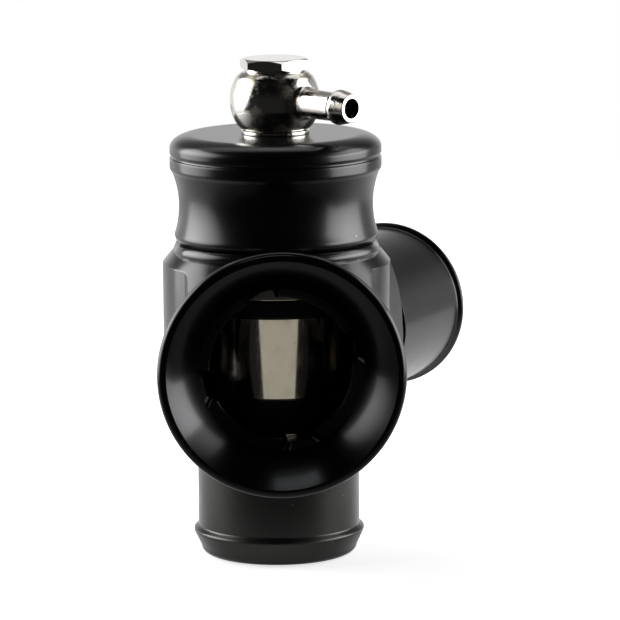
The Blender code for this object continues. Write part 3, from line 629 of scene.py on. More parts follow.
trumpet_black = anodised("black_trumpet", out_front, (0.030, 0.030, 0.031), 0.19,
                         grain=0.04, rings=0.08, coat=0.1, spread=0.05)
crest_r = TRUMPET_RIM_R - LIP_ROUND - LIP_LAND
skirt_r = TRUMPET_RIM_R - LIP_ROUND * 0.8
back_r = THROAT_R + TRUMPET_WALL
back_foot = BELL_START - LIP_ROUND / 2
back_top = trumpet_reach - LIP_ROUND - TRUMPET_WALL * 0.75
trumpet_outline = threaded_neck(PORT_FACE, PORT_BORE_R)
trumpet_outline += arc(skirt_r, back_foot, back_r - skirt_r, back_top - back_foot, 0, math.pi / 2, 20)
trumpet_outline += arc(TRUMPET_RIM_R - LIP_ROUND, trumpet_reach - LIP_ROUND, LIP_ROUND, LIP_ROUND,
                       -math.pi / 4, math.pi / 2, 14)
trumpet_outline += arc(crest_r, trumpet_reach - LIP_INNER_ROUND, -LIP_INNER_ROUND, LIP_INNER_ROUND,
                       math.pi / 2, FLARE_LAST, 6)
flare_end_r, flare_end = trumpet_outline[-1]
flare_r = (flare_end_r - THROAT_R) / (math.cos(FLARE_FIRST) - math.cos(FLARE_LAST))
flare_centre_r = flare_end_r + flare_r * math.cos(FLARE_LAST)
flare_centre = flare_end - flare_r * math.sin(FLARE_LAST)
trumpet_outline += arc(flare_centre_r, flare_centre, -flare_r, flare_r, FLARE_LAST, FLARE_FIRST, 24)[1:]
trumpet_outline += [(THROAT_R, RING_FACE), (PORT_BORE_R, RING_FACE - RING_SLOPE, 0.2 * MM)]
vent_trumpet = turn("vent_trumpet", eased(trumpet_outline), out_front, trumpet_black)
cut(vent_trumpet, notch_cutters("trumpet_notch", out_front, neck_foot, RING_FACE + MM, RING_FACE))
even_normals(vent_trumpet)
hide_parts("trumpet")
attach(vent_trumpet, "valve_body")


# The cap: turned from bar, satin on its waisted skirt and polished on its rim and dome. It screws
# down on the body, guides the top of the piston and holds the spring in its pocket.
CAP_RIM_R = 24.75 * MM
WAIST_R = 22.7 * MM
WAIST_ARC_R = 21.0 * MM
WAIST_ABOVE_BASE = 9.0 * MM
WAIST_RISE = 8.0 * MM
BASE_ROUND = 1.8 * MM
BASE_RISE = 2.3 * MM
SPIGOT_R = 21.6 * MM
GROOVE_DEPTH = 0.45 * MM
GROOVE_WIDTH = 0.9 * MM
GROOVE_SLOPE = 0.1 * MM
RIM_HEIGHT = 3.2 * MM
DOME_ROUND_OUT = 5.5 * MM
DOME_ROUND_UP = 3.2 * MM
BOLT_CLEAR_R = 5.15 * MM
POCKET_R = 14.9 * MM
POCKET_EDGE = 0.6 * MM
ROOF = 4.9 * MM
BORE_ROOF = 10.5 * MM
cap_low, cap_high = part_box("cap")
cap_base_z = top_z + GAP
waist_z = cap_base_z + WAIST_ABOVE_BASE
rim_z = waist_z + WAIST_RISE
cap_top_z = cap_high.z


def cap_finish():
    """Black anodising that is satin on the skirt, and gets its polish and gloss at the rim."""
    made = anodised("black_cap", on_axis, (0.040, 0.040, 0.041), 0.25, grain=0.05, rings=0.05, coat=0.05)
    tree = made.node_tree
    height = put(tree, "ShaderNodeSeparateXYZ", Vector=local_coordinates(tree, on_axis)).outputs["Z"]
    low, high = rim_z - 0.3 * MM, rim_z + 0.5 * MM
    feed(tree, tree.nodes["Principled BSDF"], Roughness=ramp(tree, height, low, high, 0.25, 0.24),
         Coat_Weight=ramp(tree, height, low, high, 0.05, 0.1))
    return made


waist_foot = math.pi + math.asin((WAIST_ABOVE_BASE - BASE_RISE) / WAIST_ARC_R)
waist_head = math.pi - math.asin(WAIST_RISE / WAIST_ARC_R)
waist = arc(WAIST_R + WAIST_ARC_R, waist_z, WAIST_ARC_R, WAIST_ARC_R, waist_foot, waist_head, 30)
base_r = waist[0][0]
groove_z = rim_z + RIM_HEIGHT
groove_r = CAP_RIM_R - GROOVE_DEPTH
dome_z = groove_z + GROOVE_WIDTH
cap_outline = [(BORE_R, cap_low.z, 0.3 * MM), (SPIGOT_R, cap_low.z, 0.3 * MM), (SPIGOT_R, cap_base_z)]
cap_outline += arc(base_r - BASE_ROUND, cap_base_z + BASE_RISE, BASE_ROUND, BASE_RISE,
                   -math.pi / 2, 0, 8)[:-1]
cap_outline += waist
cap_outline += [(CAP_RIM_R - 0.15 * MM, rim_z + 0.35 * MM), (CAP_RIM_R, rim_z + 0.9 * MM, 0.3 * MM),
                (CAP_RIM_R, groove_z, 0.5 * MM), (groove_r, groove_z + GROOVE_SLOPE, 0.4 * MM),
                (groove_r, dome_z - GROOVE_SLOPE, 0.4 * MM), (CAP_RIM_R, dome_z, 0.5 * MM)]
cap_outline += arc(CAP_RIM_R - DOME_ROUND_OUT, cap_top_z - DOME_ROUND_UP, DOME_ROUND_OUT, DOME_ROUND_UP,
                   0, math.pi / 2, 18)
cap_outline += [(BOLT_CLEAR_R, cap_top_z, 0.2 * MM), (BOLT_CLEAR_R, cap_top_z - ROOF),
                (POCKET_R, cap_top_z - ROOF, 0.3 * MM), (POCKET_R, cap_top_z - ROOF - POCKET_EDGE),
                (BORE_R, cap_top_z - BORE_ROOF, 0.3 * MM)]
valve_cap = even_normals(turn("waisted_cap", eased(cap_outline), on_axis, cap_finish()))
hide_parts("cap")
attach(valve_cap, "valve_body")


# The piston: a cup turned from bar and nickel plated, with grooves for two guide bands, a ring in
# its bore and a face seal in its foot. Boost under it lifts it off the inlet's top ring.
PISTON_R = 19.4 * MM
PISTON_INNER_R = 16.0 * MM
CROWN = 3.0 * MM
BAND_GROOVE_R = 18.5 * MM
RING_GROOVE_R = 17.5 * MM
RING_FROM_HEAD = 3.0 * MM
FACE_SEAL_R = 17.05 * MM
FACE_SEAL_WIRE = 0.8 * MM
PISTON_RING_WIRE = 0.9 * MM
PISTON_BEVEL = 0.4 * MM
EDGE_BREAK = 0.15 * MM
LUMP_DEPTH = 0.2 * MM
SCRATCH_DEPTH = 0.01 * MM
BROWNING = (0.55, 0.46, 0.32)
piston_low, piston_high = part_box("piston")
lower_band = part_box("piston_lower_band")
upper_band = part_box("piston_upper_band")


def fine_scratches_group():
    """Sparse straight hairline scratches that run three ways over a plated surface."""
    group, source, sink = new_group(
        "Shader", "fine_scratches", [("Vector", "Vector")], [("Scratches", "Float")])
    vector = source.outputs["Vector"]
    total = 0.0
    for tilt, width, seed in ((0.35, 0.02, 0.0), (1.25, 0.015, 4.7), (-0.8, 0.012, 9.1)):
        turned = put(group, "ShaderNodeMapping", Vector=vector, Location=(seed * MM, seed * MM, 0),
                     Rotation=(tilt, tilt * 0.6, tilt * 0.4), Scale=(2600, 2600, 90))
        streaks = noise(group, turned.outputs[0], 1.0, Detail=1.0)
        off = maths(group, "ABSOLUTE", maths(group, "SUBTRACT", streaks, 0.5))
        line = maths(group, "LESS_THAN", off, width * 0.2)
        gate = noise(group, vector, 210.0 + seed * 30)
        shown = maths(group, "MULTIPLY", line, maths(group, "GREATER_THAN", gate, 0.52))
        total = maths(group, "MAXIMUM", total, shown)
    feed(group, sink, Scratches=total)
    return group


fine_scratches = fine_scratches_group()


def plated(name, place, colour, roughness, scratch=0.3, lumps=0.0, tarnish=0.0):
    """Nickel plating over metal: long fine scratches, cast lumps or brown tarnish where asked."""
    made, tree, shader = new_finish(name)
    vector = local_coordinates(tree, place)
    worn = put(tree, "ShaderNodeGroup", {"node_tree": fine_scratches}, Vector=vector).outputs["Scratches"]
    patch = ramp(tree, noise(tree, vector, 260.0, Detail=4.0), 0.48, 0.72, 0.0, tarnish)
    dull = maths(tree, "MULTIPLY_ADD", patch, 0.35, roughness)
    cast = bump(tree, noise(tree, vector, 420.0, Detail=3.0, Roughness=0.5), lumps, LUMP_DEPTH)
    scratched = put(tree, "ShaderNodeBump", {"invert": True}, Height=worn, Strength=scratch,
                    Distance=SCRATCH_DEPTH, Normal=cast)
    brown = [part * share for part, share in zip(colour, BROWNING)]
    feed(tree, shader, Base_Color=between(tree, patch, colour, brown), Normal=scratched.outputs[0],
         Roughness=maths(tree, "MULTIPLY_ADD", worn, 0.12 * scratch, dull), Metallic=1.0)
    return made


piston_nickel = plated("piston_nickel", on_axis, (0.66, 0.61, 0.52), 0.09, scratch=0.15, tarnish=0.15)
foot, head = piston_low.z, piston_high.z
seal_in = FACE_SEAL_R - FACE_SEAL_WIRE - GAP
seal_out = FACE_SEAL_R + FACE_SEAL_WIRE + GAP
seal_roof = foot + 2 * FACE_SEAL_WIRE
ring_z = head - RING_FROM_HEAD
ring_half = PISTON_RING_WIRE + GAP
piston_outline = [(CENTRE, foot), (seal_in, foot, EDGE_BREAK), (seal_in, seal_roof), (seal_out, seal_roof),
                  (seal_out, foot, EDGE_BREAK), (PISTON_R, foot, PISTON_BEVEL)]
for low, high, groove_floor_r in ((lower_band[0].z - GAP, lower_band[1].z + GAP, BAND_GROOVE_R),
                                  (upper_band[0].z - GAP, upper_band[1].z + GAP, BAND_GROOVE_R),
                                  (ring_z - ring_half, ring_z + ring_half, RING_GROOVE_R)):
    piston_outline += [(PISTON_R, low, EDGE_BREAK), (groove_floor_r, low, EDGE_BREAK),
                       (groove_floor_r, high, EDGE_BREAK), (PISTON_R, high, EDGE_BREAK)]
piston_outline += [(PISTON_R, head, PISTON_BEVEL), (PISTON_INNER_R, head, 0.3 * MM),
                   (PISTON_INNER_R, foot + CROWN, 0.8 * MM), (CENTRE, foot + CROWN)]
cup = even_normals(turn("plated_piston", eased(piston_outline), on_axis, piston_nickel))
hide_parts("piston")
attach(cup, "piston_assembly")


# The two guide bands: split hoops of black low-friction plastic, sprung into the piston's grooves.
# They carry the piston in the bore so that its plating never touches the anodised wall.
BAND_R = 19.6 * MM
BAND_THICKNESS = 0.8 * MM
SPLIT_WIDTH = 1.2 * MM
SPLIT_SLANT = 0.35


def guide_plastic():
    """Matt black filled plastic with a faint moulded grain."""
    made, tree, shader = new_finish("guide_plastic")
    grain = noise(tree, object_coordinates(tree), 2500.0)
    feed(tree, shader, Base_Color=(0.012, 0.012, 0.012, 1), Roughness=0.5,
         Normal=bump(tree, grain, 0.2, GRAIN_DEPTH))
    return made


band_plastic = guide_plastic()
for node, (low, high) in (("piston_lower_band", lower_band), ("piston_upper_band", upper_band)):
    inner = BAND_R - BAND_THICKNESS
    hoop = turn(node + "_hoop", eased([
        (inner, low.z, 0.12 * MM), (BAND_R, low.z, 0.2 * MM), (BAND_R, high.z, 0.2 * MM),
        (inner, high.z, 0.12 * MM)]), on_axis, band_plastic)
    split_bm = bmesh.new()
    bmesh.ops.create_cube(split_bm, size=1.0)
    split = mesh_of("split", split_bm)
    split.transform(on_axis @ Matrix.Rotation(math.pi - outlet_turn / 2, 4, "Z")
                    @ Matrix.Translation((BAND_R, 0, (low.z + high.z) / 2))
                    @ Matrix.Rotation(SPLIT_SLANT, 4, "X")
                    @ Matrix.Diagonal((4 * BAND_THICKNESS, SPLIT_WIDTH, (high.z - low.z) * 1.6, 1)))
    even_normals(cut(hoop, [in_scene("split", split)]))
    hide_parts(node)
    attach(hoop, "piston_assembly")


# The seal rings: black rubber O-rings in the glands of the body, of the cap and of the piston.
# Each is moulded round, with the faint flash line of its mould round its outside.
PORT_RING_WIRE = 0.6 * MM
CAP_RING_BELOW_TOP = 4.3 * MM
FLASH_LINE = 1.03
RING_POINTS = 24


def ring_rubber():
    """Matt black rubber with a dull bloom."""
    made, tree, shader = new_finish("ring_rubber")
    bloom = noise(tree, object_coordinates(tree), 400.0)
    feed(tree, shader, Base_Color=between(tree, bloom, (0.010,) * 3, (0.020,) * 3), Roughness=0.6)
    return made


rubber = ring_rubber()
port_ring_r = NECK_R + GAP + PORT_RING_WIRE
port_ring_out = PORT_FACE - PORT_RING_WIRE
cap_ring_r = (BORE_R + CAP_HOLE_R) / 2
face_ring_z = foot - GAP + FACE_SEAL_WIRE
ring_seats = (
    ("trumpet_seal_ring", port_ring_r, PORT_RING_WIRE, port_ring_out, out_front, "valve_body"),
    ("outlet_seal_ring", port_ring_r, PORT_RING_WIRE, port_ring_out, out_back, "valve_body"),
    ("inlet_seal_ring", port_ring_r, PORT_RING_WIRE, inlet_face - PORT_RING_WIRE, out_below, "valve_body"),
    ("cap_seal_ring", cap_ring_r, PORT_RING_WIRE, top_z - CAP_RING_BELOW_TOP, on_axis, "valve_body"),
    ("piston_seal_ring", BAND_R - PISTON_RING_WIRE, PISTON_RING_WIRE, ring_z, on_axis, "piston_assembly"),
    ("piston_face_seal", FACE_SEAL_R, FACE_SEAL_WIRE, face_ring_z, on_axis, "piston_assembly"))
for node, ring_r, wire_r, height, place, body in ring_seats:
    section = arc(ring_r, height, wire_r, wire_r, 0, 2 * math.pi, RING_POINTS)[:-1]
    section[0] = (ring_r + wire_r * FLASH_LINE, height)
    ring_name = node.replace("seal_ring", "o_ring").replace("face_seal", "face_o_ring")
    ring = turn(ring_name, section, place, rubber)
    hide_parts(node)
    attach(ring, body)


# The spring and its two seat washers: drawn steel wire wound cold with its end turns closed,
# between a washer on the piston's crown and one in the cap's pocket. Lift squeezes the spring.
SPRING_R = 12.6 * MM
WIRE_R = 1.0 * MM
OPEN_TURNS = 5
STEPS_PER_TURN = 40
CLOSED_PITCH = 2.1
SEAT_HALF_WIDTH = 2.0 * MM
spring_low, spring_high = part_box("piston_spring")


def wound_wire_tree():
    """Geometry Nodes: a line of points is wound into a coil with flat end turns and given its wire."""
    group, source, sink = new_group("Geometry", "wound_wire", [
        ("Coil Radius", "Float"), ("Wire Radius", "Float"), ("Low", "Float"), ("High", "Float"),
        ("Open Turns", "Float"), ("Steps", "Int"), ("Finish", "Material")], [("Coil", "Geometry")])
    coil_r, wire_r, low, high, open_turns, steps = source.outputs[:6]

    def sum_of(operation, first, second=0.0):
        return maths(group, operation, first, second)

    whole = sum_of("ADD", open_turns, 2.0)
    line = put(group, "GeometryNodeMeshLine", Count=sum_of("ADD", sum_of("MULTIPLY", whole, steps), 1.0))
    turned = sum_of("DIVIDE", put(group, "GeometryNodeInputIndex").outputs[0], steps)
    angle = sum_of("MULTIPLY", turned, 2 * math.pi)
    closed = sum_of("MULTIPLY", wire_r, CLOSED_PITCH)
    first = sum_of("MINIMUM", turned, 1.0)
    last = sum_of("MAXIMUM", sum_of("ADD", sum_of("SUBTRACT", turned, whole), 1.0), 0.0)
    middle = sum_of("DIVIDE", sum_of("SUBTRACT", turned, 1.0), open_turns)
    middle = sum_of("MINIMUM", sum_of("MAXIMUM", middle, 0.0), 1.0)
    span = sum_of("SUBTRACT", sum_of("SUBTRACT", high, low), sum_of("MULTIPLY", closed, 2.0))
    ends = sum_of("MULTIPLY", closed, sum_of("ADD", first, last))
    spot = put(group, "ShaderNodeCombineXYZ", X=sum_of("MULTIPLY", sum_of("COSINE", angle), coil_r),
               Y=sum_of("MULTIPLY", sum_of("SINE", angle), coil_r),
               Z=sum_of("ADD", low, sum_of("ADD", ends, sum_of("MULTIPLY", span, middle))))
    wound = put(group, "GeometryNodeSetPosition", Geometry=line.outputs["Mesh"], Position=spot.outputs[0])
    path = put(group, "GeometryNodeMeshToCurve", Mesh=wound.outputs["Geometry"])
    section = put(group, "GeometryNodeCurvePrimitiveCircle", Resolution=16, Radius=wire_r)
    feed(group, sink, Coil=swept_and_painted(group, source, path, section, fill=True))
    return group


spring_steel = plated("spring_steel", on_axis, (0.40, 0.40, 0.41), 0.28)
spring = in_scene("coil_spring", bpy.data.meshes.new("coil_spring"))
with_nodes(spring, wound_wire_tree(), Coil_Radius=SPRING_R, Wire_Radius=WIRE_R, Low=spring_low.z + WIRE_R,
           High=spring_high.z - WIRE_R, Open_Turns=float(OPEN_TURNS), Steps=STEPS_PER_TURN,
           Finish=spring_steel)
plain_mesh(spring, on_axis, crease=60)
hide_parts("piston_spring")
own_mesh(spring)
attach(spring, "valve_body")


def washer(name, node, inner_r, outer_r, low, high, finish, body):
    """A flat turned washer that replaces one node."""
    ease = (high - low) * 0.25
    made = turn(name, eased([(inner_r, low, ease), (outer_r, low, ease), (outer_r, high, ease),
                             (inner_r, high, ease)]), on_axis, finish)
    even_normals(made)
    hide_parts(node)
    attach(made, body)
    return made


for node, body in (("lower_spring_seat", "piston_assembly"), ("upper_spring_seat", "valve_body")):
    low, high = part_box(node)
    washer(node + "_washer", node, SPRING_R - SEAT_HALF_WIDTH, SPRING_R + SEAT_HALF_WIDTH, low.z,
                   high.z, spring_steel, body)


# The banjo's bolt: a hollow bright-plated hexagon bolt that clamps the fitting on the cap between
# two plated washers. Its cross hole lets the vacuum line reach the spring's room.
BOLT_R = 4.85 * MM
BOLT_NECK_R = 4.1 * MM
BOLT_NECK_SLOPE = 0.5 * MM
BOLT_HOLE_R = 2.0 * MM
BOLT_HOLE_ABOVE_BALL = 1.5 * MM
DRILL_POINT = 1.0 * MM
CROSS_HOLE_R = 1.2 * MM
GALLERY_HALF = 2.0 * MM
HEX_CORNER_R = 8.5 * MM
HEX_CHAMFER = 0.62 * MM
HEX_EDGE = 0.15 * MM
HEX_TURN = math.radians(11)
NIPPLE_TURN = math.radians(48)
SEAT_CLOSE = 0.04 * MM
BALL_FOOT_HALF = 6.93 * MM
BALL_HEAD_HALF = 6.72 * MM
LOWER_WASHER_R = 8.0 * MM
UPPER_WASHER_R = 7.1 * MM
bolt_low, bolt_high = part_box("banjo_bolt")
hex_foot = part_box("banjo_upper_washer")[1].z + SEAT_CLOSE
hex_top = bolt_high.z
at_ball = Matrix.Translation((axis_x, axis_y, ball_z))
nipple_heading = Matrix.Rotation(math.pi / 2 - NIPPLE_TURN, 4, "Z")
out_nipple = at_ball @ nipple_heading @ Matrix.Rotation(math.pi / 2, 4, "X")


def hexagon_head(finish):
    """The head: a hexagon block cut to the turned shape that chamfers its corners."""
    bm = bmesh.new()
    headings = [HEX_TURN + math.pi / 6 + k * math.pi / 3 for k in range(6)]
    corners = [(HEX_CORNER_R * math.cos(heading), HEX_CORNER_R * math.sin(heading), hex_foot)
               for heading in headings]
    face = bm.faces.new([bm.verts.new(corner) for corner in corners])
    risen = bmesh.ops.extrude_face_region(bm, geom=[face])["geom"]
    upper = [v for v in risen if isinstance(v, bmesh.types.BMVert)]
    bmesh.ops.translate(bm, vec=(0, 0, hex_top - hex_foot), verts=upper)
    upright = [e for e in bm.edges if abs(e.verts[0].co.z - e.verts[1].co.z) > MM]
    bmesh.ops.bevel(bm, geom=upright, offset=HEX_EDGE, segments=2, affect="EDGES")
    mesh = mesh_of("hexagon_head", bm)
    mesh.transform(on_axis)
    mesh.materials.append(finish)
    flat_r = HEX_CORNER_R * math.cos(math.pi / 6) - 0.1 * MM
    past_r = HEX_CORNER_R + MM
    fall = HEX_CHAMFER / (HEX_CORNER_R - flat_r) * MM
    limit = turn("head_limit", eased([
        (CENTRE, hex_foot), (flat_r, hex_foot, 0.25 * MM), (past_r, hex_foot + HEX_CHAMFER * 0.8 + fall),
        (past_r, hex_top - HEX_CHAMFER - fall), (flat_r, hex_top, 0.35 * MM), (CENTRE, hex_top)]),
        on_axis, finish)
    return cut(in_scene("hexagon_head", mesh), [limit], "INTERSECT")


bolt_nickel = plated("bolt_nickel", on_axis, (0.74, 0.72, 0.68), 0.10, scratch=0.35, lumps=0.05)
gallery_low, gallery_high = ball_z - GALLERY_HALF, ball_z + GALLERY_HALF
hole_end = ball_z + BOLT_HOLE_ABOVE_BALL
shank_top = hex_foot + 0.5 * MM
banjo_bolt = turn("bolt_shank", eased([
    (BOLT_HOLE_R, bolt_low.z, 0.3 * MM), (BOLT_R, bolt_low.z, 0.5 * MM), (BOLT_R, gallery_low),
    (BOLT_NECK_R, gallery_low + BOLT_NECK_SLOPE), (BOLT_NECK_R, gallery_high - BOLT_NECK_SLOPE),
    (BOLT_R, gallery_high), (BOLT_R, shank_top), (CENTRE, shank_top), (CENTRE, hole_end + DRILL_POINT),
    (BOLT_HOLE_R, hole_end)]), on_axis, bolt_nickel)
head_block = hexagon_head(bolt_nickel)
cross_hole = turn("cross_hole", [(CENTRE, -BOLT_R), (CROSS_HOLE_R, -BOLT_R), (CROSS_HOLE_R, BOLT_R),
                                 (CENTRE, BOLT_R)], out_nipple, bolt_nickel, 32)
cut(banjo_bolt, [head_block], "UNION")
even_normals(cut(banjo_bolt, [cross_hole]))
banjo_bolt.name = "hollow_banjo_bolt"
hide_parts("banjo_bolt")
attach(banjo_bolt, "valve_body")

lower_clamp = washer("lower_clamp_washer", "banjo_lower_washer", BOLT_CLEAR_R, LOWER_WASHER_R,
                     cap_top_z + SEAT_CLOSE, ball_z - BALL_FOOT_HALF - SEAT_CLOSE, bolt_nickel, "valve_body")
upper_clamp = washer("upper_clamp_washer", "banjo_upper_washer", BOLT_CLEAR_R, UPPER_WASHER_R,
                     ball_z + BALL_HEAD_HALF + SEAT_CLOSE, hex_foot - SEAT_CLOSE, bolt_nickel, "valve_body")


# The banjo fitting: a ball and stem cast in one, machined at its flats, barb and bores, then
# nickel plated over its rough cast skin. It turns on the bolt to face the vacuum hose.
BALL_R = 10.54 * MM
BALL_END_R = 7.6 * MM
BALL_EDGE_R = 9.0 * MM
BALL_EDGE_Z = 5.6 * MM
STEM_R = 3.35 * MM
STEM_FILLET = 1.5 * MM
NIPPLE_REACH = 25.5 * MM
BARB_R = 4.08 * MM
BARB_FOOT = 5.7 * MM
BARB_CREST = 3.8 * MM
NIPPLE_END_R = 3.25 * MM
NIPPLE_BORE_R = 2.3 * MM
NIPPLE_BORE_FOOT = BALL_R * 0.6
GALLERY_R = 6.4 * MM
BOLT_WAY_HALF = 8.0 * MM

# The stem points straight away from the ball's middle, so ball, fillet, stem and barb are one
# outline turned about the stem's own axis.
fillet_r = STEM_R + STEM_FILLET
fillet_out = math.sqrt((BALL_R + STEM_FILLET) ** 2 - fillet_r ** 2)
meets = math.atan2(fillet_out, fillet_r)
nipple_outline = arc(0, 0, BALL_R, BALL_R, -math.pi / 2 + 1e-6, meets, 88)
nipple_outline += arc(fillet_r, fillet_out, STEM_FILLET, STEM_FILLET, math.pi + meets, math.pi, 10)[1:]
barb_foot = NIPPLE_REACH - BARB_FOOT
barb_crest = NIPPLE_REACH - BARB_CREST
nipple_outline += eased([
    (STEM_R, barb_foot - MM), (STEM_R, barb_foot), (BARB_R, barb_crest - 0.2 * MM, 0.4 * MM),
    (BARB_R - 0.02 * MM, barb_crest + 0.3 * MM, 0.4 * MM), (NIPPLE_END_R, NIPPLE_REACH, 0.18 * MM),
    (NIPPLE_BORE_R, NIPPLE_REACH, 0.12 * MM), (NIPPLE_BORE_R, NIPPLE_BORE_FOOT),
    (CENTRE, NIPPLE_BORE_FOOT)])[1:]
nipple_outline[0] = (CENTRE, -BALL_R)
cast_nickel = plated("cast_nickel", at_ball, (0.72, 0.70, 0.66), 0.11, scratch=0.25, lumps=0.42, tarnish=0.8)
fitting = turn("cast_banjo", nipple_outline, out_nipple, cast_nickel, 128)
past_nipple = NIPPLE_REACH + MM
flats = turn("ball_flats", eased([
    (CENTRE, -BALL_FOOT_HALF), (BALL_END_R, -BALL_FOOT_HALF, 0.5 * MM), (BALL_EDGE_R, -BALL_EDGE_Z),
    (past_nipple, -BALL_EDGE_Z), (past_nipple, BALL_EDGE_Z), (BALL_EDGE_R, BALL_EDGE_Z),
    (BALL_END_R, BALL_HEAD_HALF, 0.5 * MM), (CENTRE, BALL_HEAD_HALF)]), at_ball, cast_nickel, 96)
cut(fitting, [flats], "INTERSECT")
bolt_way = turn("bolt_way", [
    (CENTRE, -BOLT_WAY_HALF), (BOLT_CLEAR_R, -BOLT_WAY_HALF), (BOLT_CLEAR_R, -GALLERY_HALF),
    (GALLERY_R, -GALLERY_HALF), (GALLERY_R, GALLERY_HALF), (BOLT_CLEAR_R, GALLERY_HALF),
    (BOLT_CLEAR_R, BOLT_WAY_HALF), (CENTRE, BOLT_WAY_HALF)], at_ball, cast_nickel, 96)
even_normals(cut(fitting, [bolt_way]))
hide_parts("banjo_fitting")
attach(fitting, "banjo")


# The stage: a sheet of white paper under a white backdrop, a big soft box on each side, a second one
# above the right one, a long one overhead behind, and two small cards. None of it is part of the valve.
PAPER_HALF_WIDTH = 0.32
PAPER_FRONT = 0.13
PAPER_BACK = 0.65
PAPER_DROP = 0.2 * MM
PAPER_GLOW = 0.3
LAMP_DISTANCE = 0.8
CAMERA_TURN = -0.0341
CAMERA_RISE = 0.1690
CAMERA_ROLL = -0.0089
CAMERA_DISTANCE = 1.06405
CAMERA_LENS = 263.1
AIM_ACROSS = 7.73 * MM
AIM_HEIGHT = 57.51 * MM


def paper_finish():
    """Matt white paper with painted shade towards its front edge. The camera always sees it as white."""
    made, tree, shader = new_finish("white_paper")
    place = object_coordinates(tree)
    spot = put(tree, "ShaderNodeSeparateXYZ", Vector=place)
    # Painted shade: by position alone, the paper's colour darkens and its glow in mirrors dies out towards
    # its front edge.
    lit = ramp(tree, spot.outputs["Y"], -0.10, 0.02, kind="SMOOTHSTEP")
    seen = put(tree, "ShaderNodeLightPath").outputs
    mirrored = maths(tree, "MAXIMUM", seen["Is Glossy Ray"], seen["Is Transmission Ray"])
    weak = maths(tree, "MULTIPLY", maths(tree, "MULTIPLY", mirrored, lit), PAPER_GLOW)
    away = put(tree, "ShaderNodeVectorMath", {"operation": "LENGTH"}, i0=place)
    far = ramp(tree, away.outputs["Value"], 0.03, 0.12, 0.68, 1.0, "SMOOTHSTEP")
    direct = maths(tree, "MULTIPLY", seen["Is Camera Ray"], far)
    feed(tree, shader, Base_Color=between(tree, lit, (0.12,) * 3, (0.8,) * 3), Roughness=1.0,
         Specular_IOR_Level=0.0, Emission_Color=(1, 1, 1, 1),
         Emission_Strength=maths(tree, "ADD", weak, direct))
    return made


def flat_sheet(name, corners, finish):
    """One flat face."""
    mesh = bpy.data.meshes.new(name)
    mesh.from_pydata(corners, [], [range(len(corners))])
    mesh.materials.append(finish)
    return in_scene(name, mesh)


paper_z = cad_box[0][2] - PAPER_DROP
paper = flat_sheet("paper_floor", [
    (-PAPER_HALF_WIDTH, -PAPER_FRONT, paper_z), (PAPER_HALF_WIDTH, -PAPER_FRONT, paper_z),
    (PAPER_HALF_WIDTH, PAPER_BACK, paper_z), (-PAPER_HALF_WIDTH, PAPER_BACK, paper_z)], paper_finish())


def soft_box(name, heading, rise, radiance, spread, across, upright):
    """A lamp panel whose brightest spot lies at (heading, rise) as the valve sees it.

    across and upright are the angles from that spot to the panel's edges, all in degrees.
    """
    heading, rise = math.radians(heading) + CAMERA_TURN, math.radians(rise)
    away = Vector((math.sin(heading) * math.cos(rise), -math.cos(heading) * math.cos(rise), math.sin(rise)))
    sideways = Vector((math.cos(heading), math.sin(heading), 0))
    upwards = away.cross(sideways)
    left, right = (LAMP_DISTANCE * math.tan(math.radians(angle)) for angle in across)
    low, high = (LAMP_DISTANCE * math.tan(math.radians(angle)) for angle in upright)
    middle = sideways * (left + right) / 2 + upwards * (low + high) / 2
    lamp = bpy.data.lights.new(name, "AREA")
    lamp.shape = "RECTANGLE"
    lamp.size, lamp.size_y = right - left, high - low
    lamp.spread = math.radians(spread)
    half = lamp.spread / 2
    lamp.energy = radiance * math.pi * lamp.size * lamp.size_y * (math.tan(half) - half) / math.tan(half)
    centre = Vector((0, 0, port_z)) + away * LAMP_DISTANCE + middle
    turned = Matrix((sideways, upwards, away)).transposed().to_4x4()
    in_scene(name, lamp).matrix_world = Matrix.Translation(centre) @ turned


soft_box("left_soft_box", -106, 17, 10.5, 80, (-18, 44), (-35, 27))
soft_box("right_soft_box", 92, 14, 9.0, 92, (-32, 25), (-32, 8))
soft_box("right_upper_soft_box", 105, 30, 5.0, 70, (-45, 12), (-7, 15))
soft_box("overhead_soft_box", 180, 66, 1.1, 140, (-50, 50), (-11, 16))


def glowing_card(name, corners, colour, strength, seen_in):
    """A glowing card that only one piece mirrors. The camera and all the other pieces look through it."""
    finish, tree, shader = new_finish(name)
    feed(tree, shader, Base_Color=(0, 0, 0, 1), Emission_Color=(*colour, 1), Emission_Strength=strength)
    card = flat_sheet(name, corners, finish)
    card.visible_camera = False
    card.visible_diffuse = False
    card.visible_shadow = False
    alone = bpy.data.collections.new(name + "_is_seen_in")
    alone.objects.link(seen_in)
    card.light_linking.receiver_collection = alone


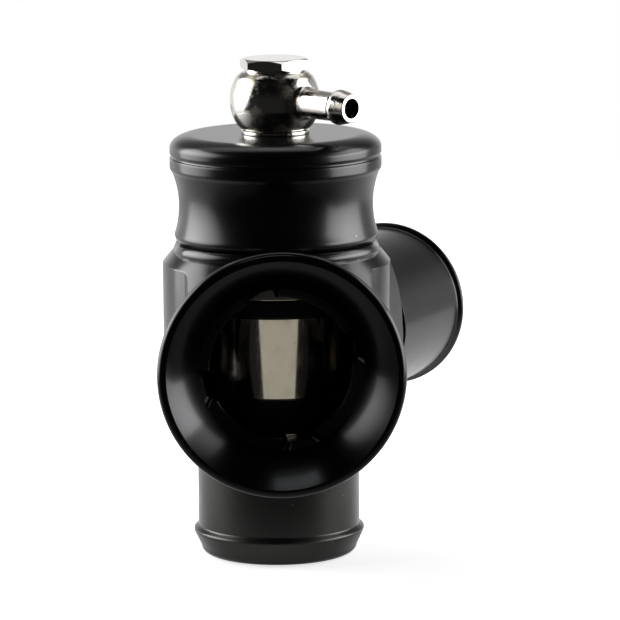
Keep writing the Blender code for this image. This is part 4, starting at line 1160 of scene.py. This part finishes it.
# The piston mirrors a small warm card close in front of the trumpet, and the bottom of the bell
# mirrors a card overhead. Corners are in metres, and x is counted from the valve's axis.
glowing_card("front_card", [(axis_x + x, -0.075, z) for x, z in (
    (-0.019, 0.031), (-0.0255, 0.0525), (0.0255, 0.0525), (0.019, 0.031))], (1, 0.98, 0.89), 0.44, cup)
glowing_card("high_card", [(axis_x + x, y, 0.5) for x, y in (
    (-0.18, -0.32), (-0.18, -0.225), (0.06, -0.225), (0.06, -0.32))], (0.95, 1, 1), 1.3, vent_trumpet)

# The backdrop: bright low behind the valve, weaker higher up and to the right, and dark in front.
# The camera sees plain white all round.
world = bpy.data.worlds.new("studio")
bpy.context.scene.world = world
world.use_nodes = True
air = world.node_tree
generated = put(air, "ShaderNodeTexCoord").outputs["Generated"]
towards = put(air, "ShaderNodeSeparateXYZ", Vector=generated).outputs
behind = ramp(air, towards["Y"], 0.30, 0.60, 0.015, 0.95, "SMOOTHSTEP")
above = ramp(air, towards["Z"], 0.12, 0.42, 1.0, 0.25, "SMOOTHSTEP")
aside = ramp(air, towards["X"], 0.20, 0.60, 1.0, 0.5, "SMOOTHSTEP")
backdrop = maths(air, "MULTIPLY", maths(air, "MULTIPLY", behind, aside), above)
seen_direct = put(air, "ShaderNodeLightPath").outputs["Is Camera Ray"]
level = put(air, "ShaderNodeMix", Factor=seen_direct, i2=backdrop, i3=1.0)
feed(air, air.nodes["Background"], Color=(1, 1, 1, 1), Strength=level.outputs[0])

# The camera: a long lens about a metre in front of the valve and a little to its left, looking
# slightly down.
back = Vector((math.sin(CAMERA_TURN) * math.cos(CAMERA_RISE), -math.cos(CAMERA_TURN) * math.cos(CAMERA_RISE),
               math.sin(CAMERA_RISE)))
right = Vector((math.cos(CAMERA_TURN), math.sin(CAMERA_TURN), 0))
up = back.cross(right)
rolled_right = right * math.cos(CAMERA_ROLL) + up * math.sin(CAMERA_ROLL)
rolled_up = up * math.cos(CAMERA_ROLL) - right * math.sin(CAMERA_ROLL)
stand = Vector((axis_x, axis_y, AIM_HEIGHT)) + right * AIM_ACROSS + back * CAMERA_DISTANCE
lens = bpy.data.cameras.new("camera")
lens.lens = CAMERA_LENS
lens.sensor_width = 36
lens.sensor_fit = "HORIZONTAL"
camera = in_scene("camera", lens)
facing = Matrix((rolled_right, rolled_up, back)).transposed().to_4x4()
camera.matrix_world = Matrix.Translation(stand) @ facing
bpy.context.scene.camera = camera
bpy.context.scene.view_settings.view_transform = "Standard"
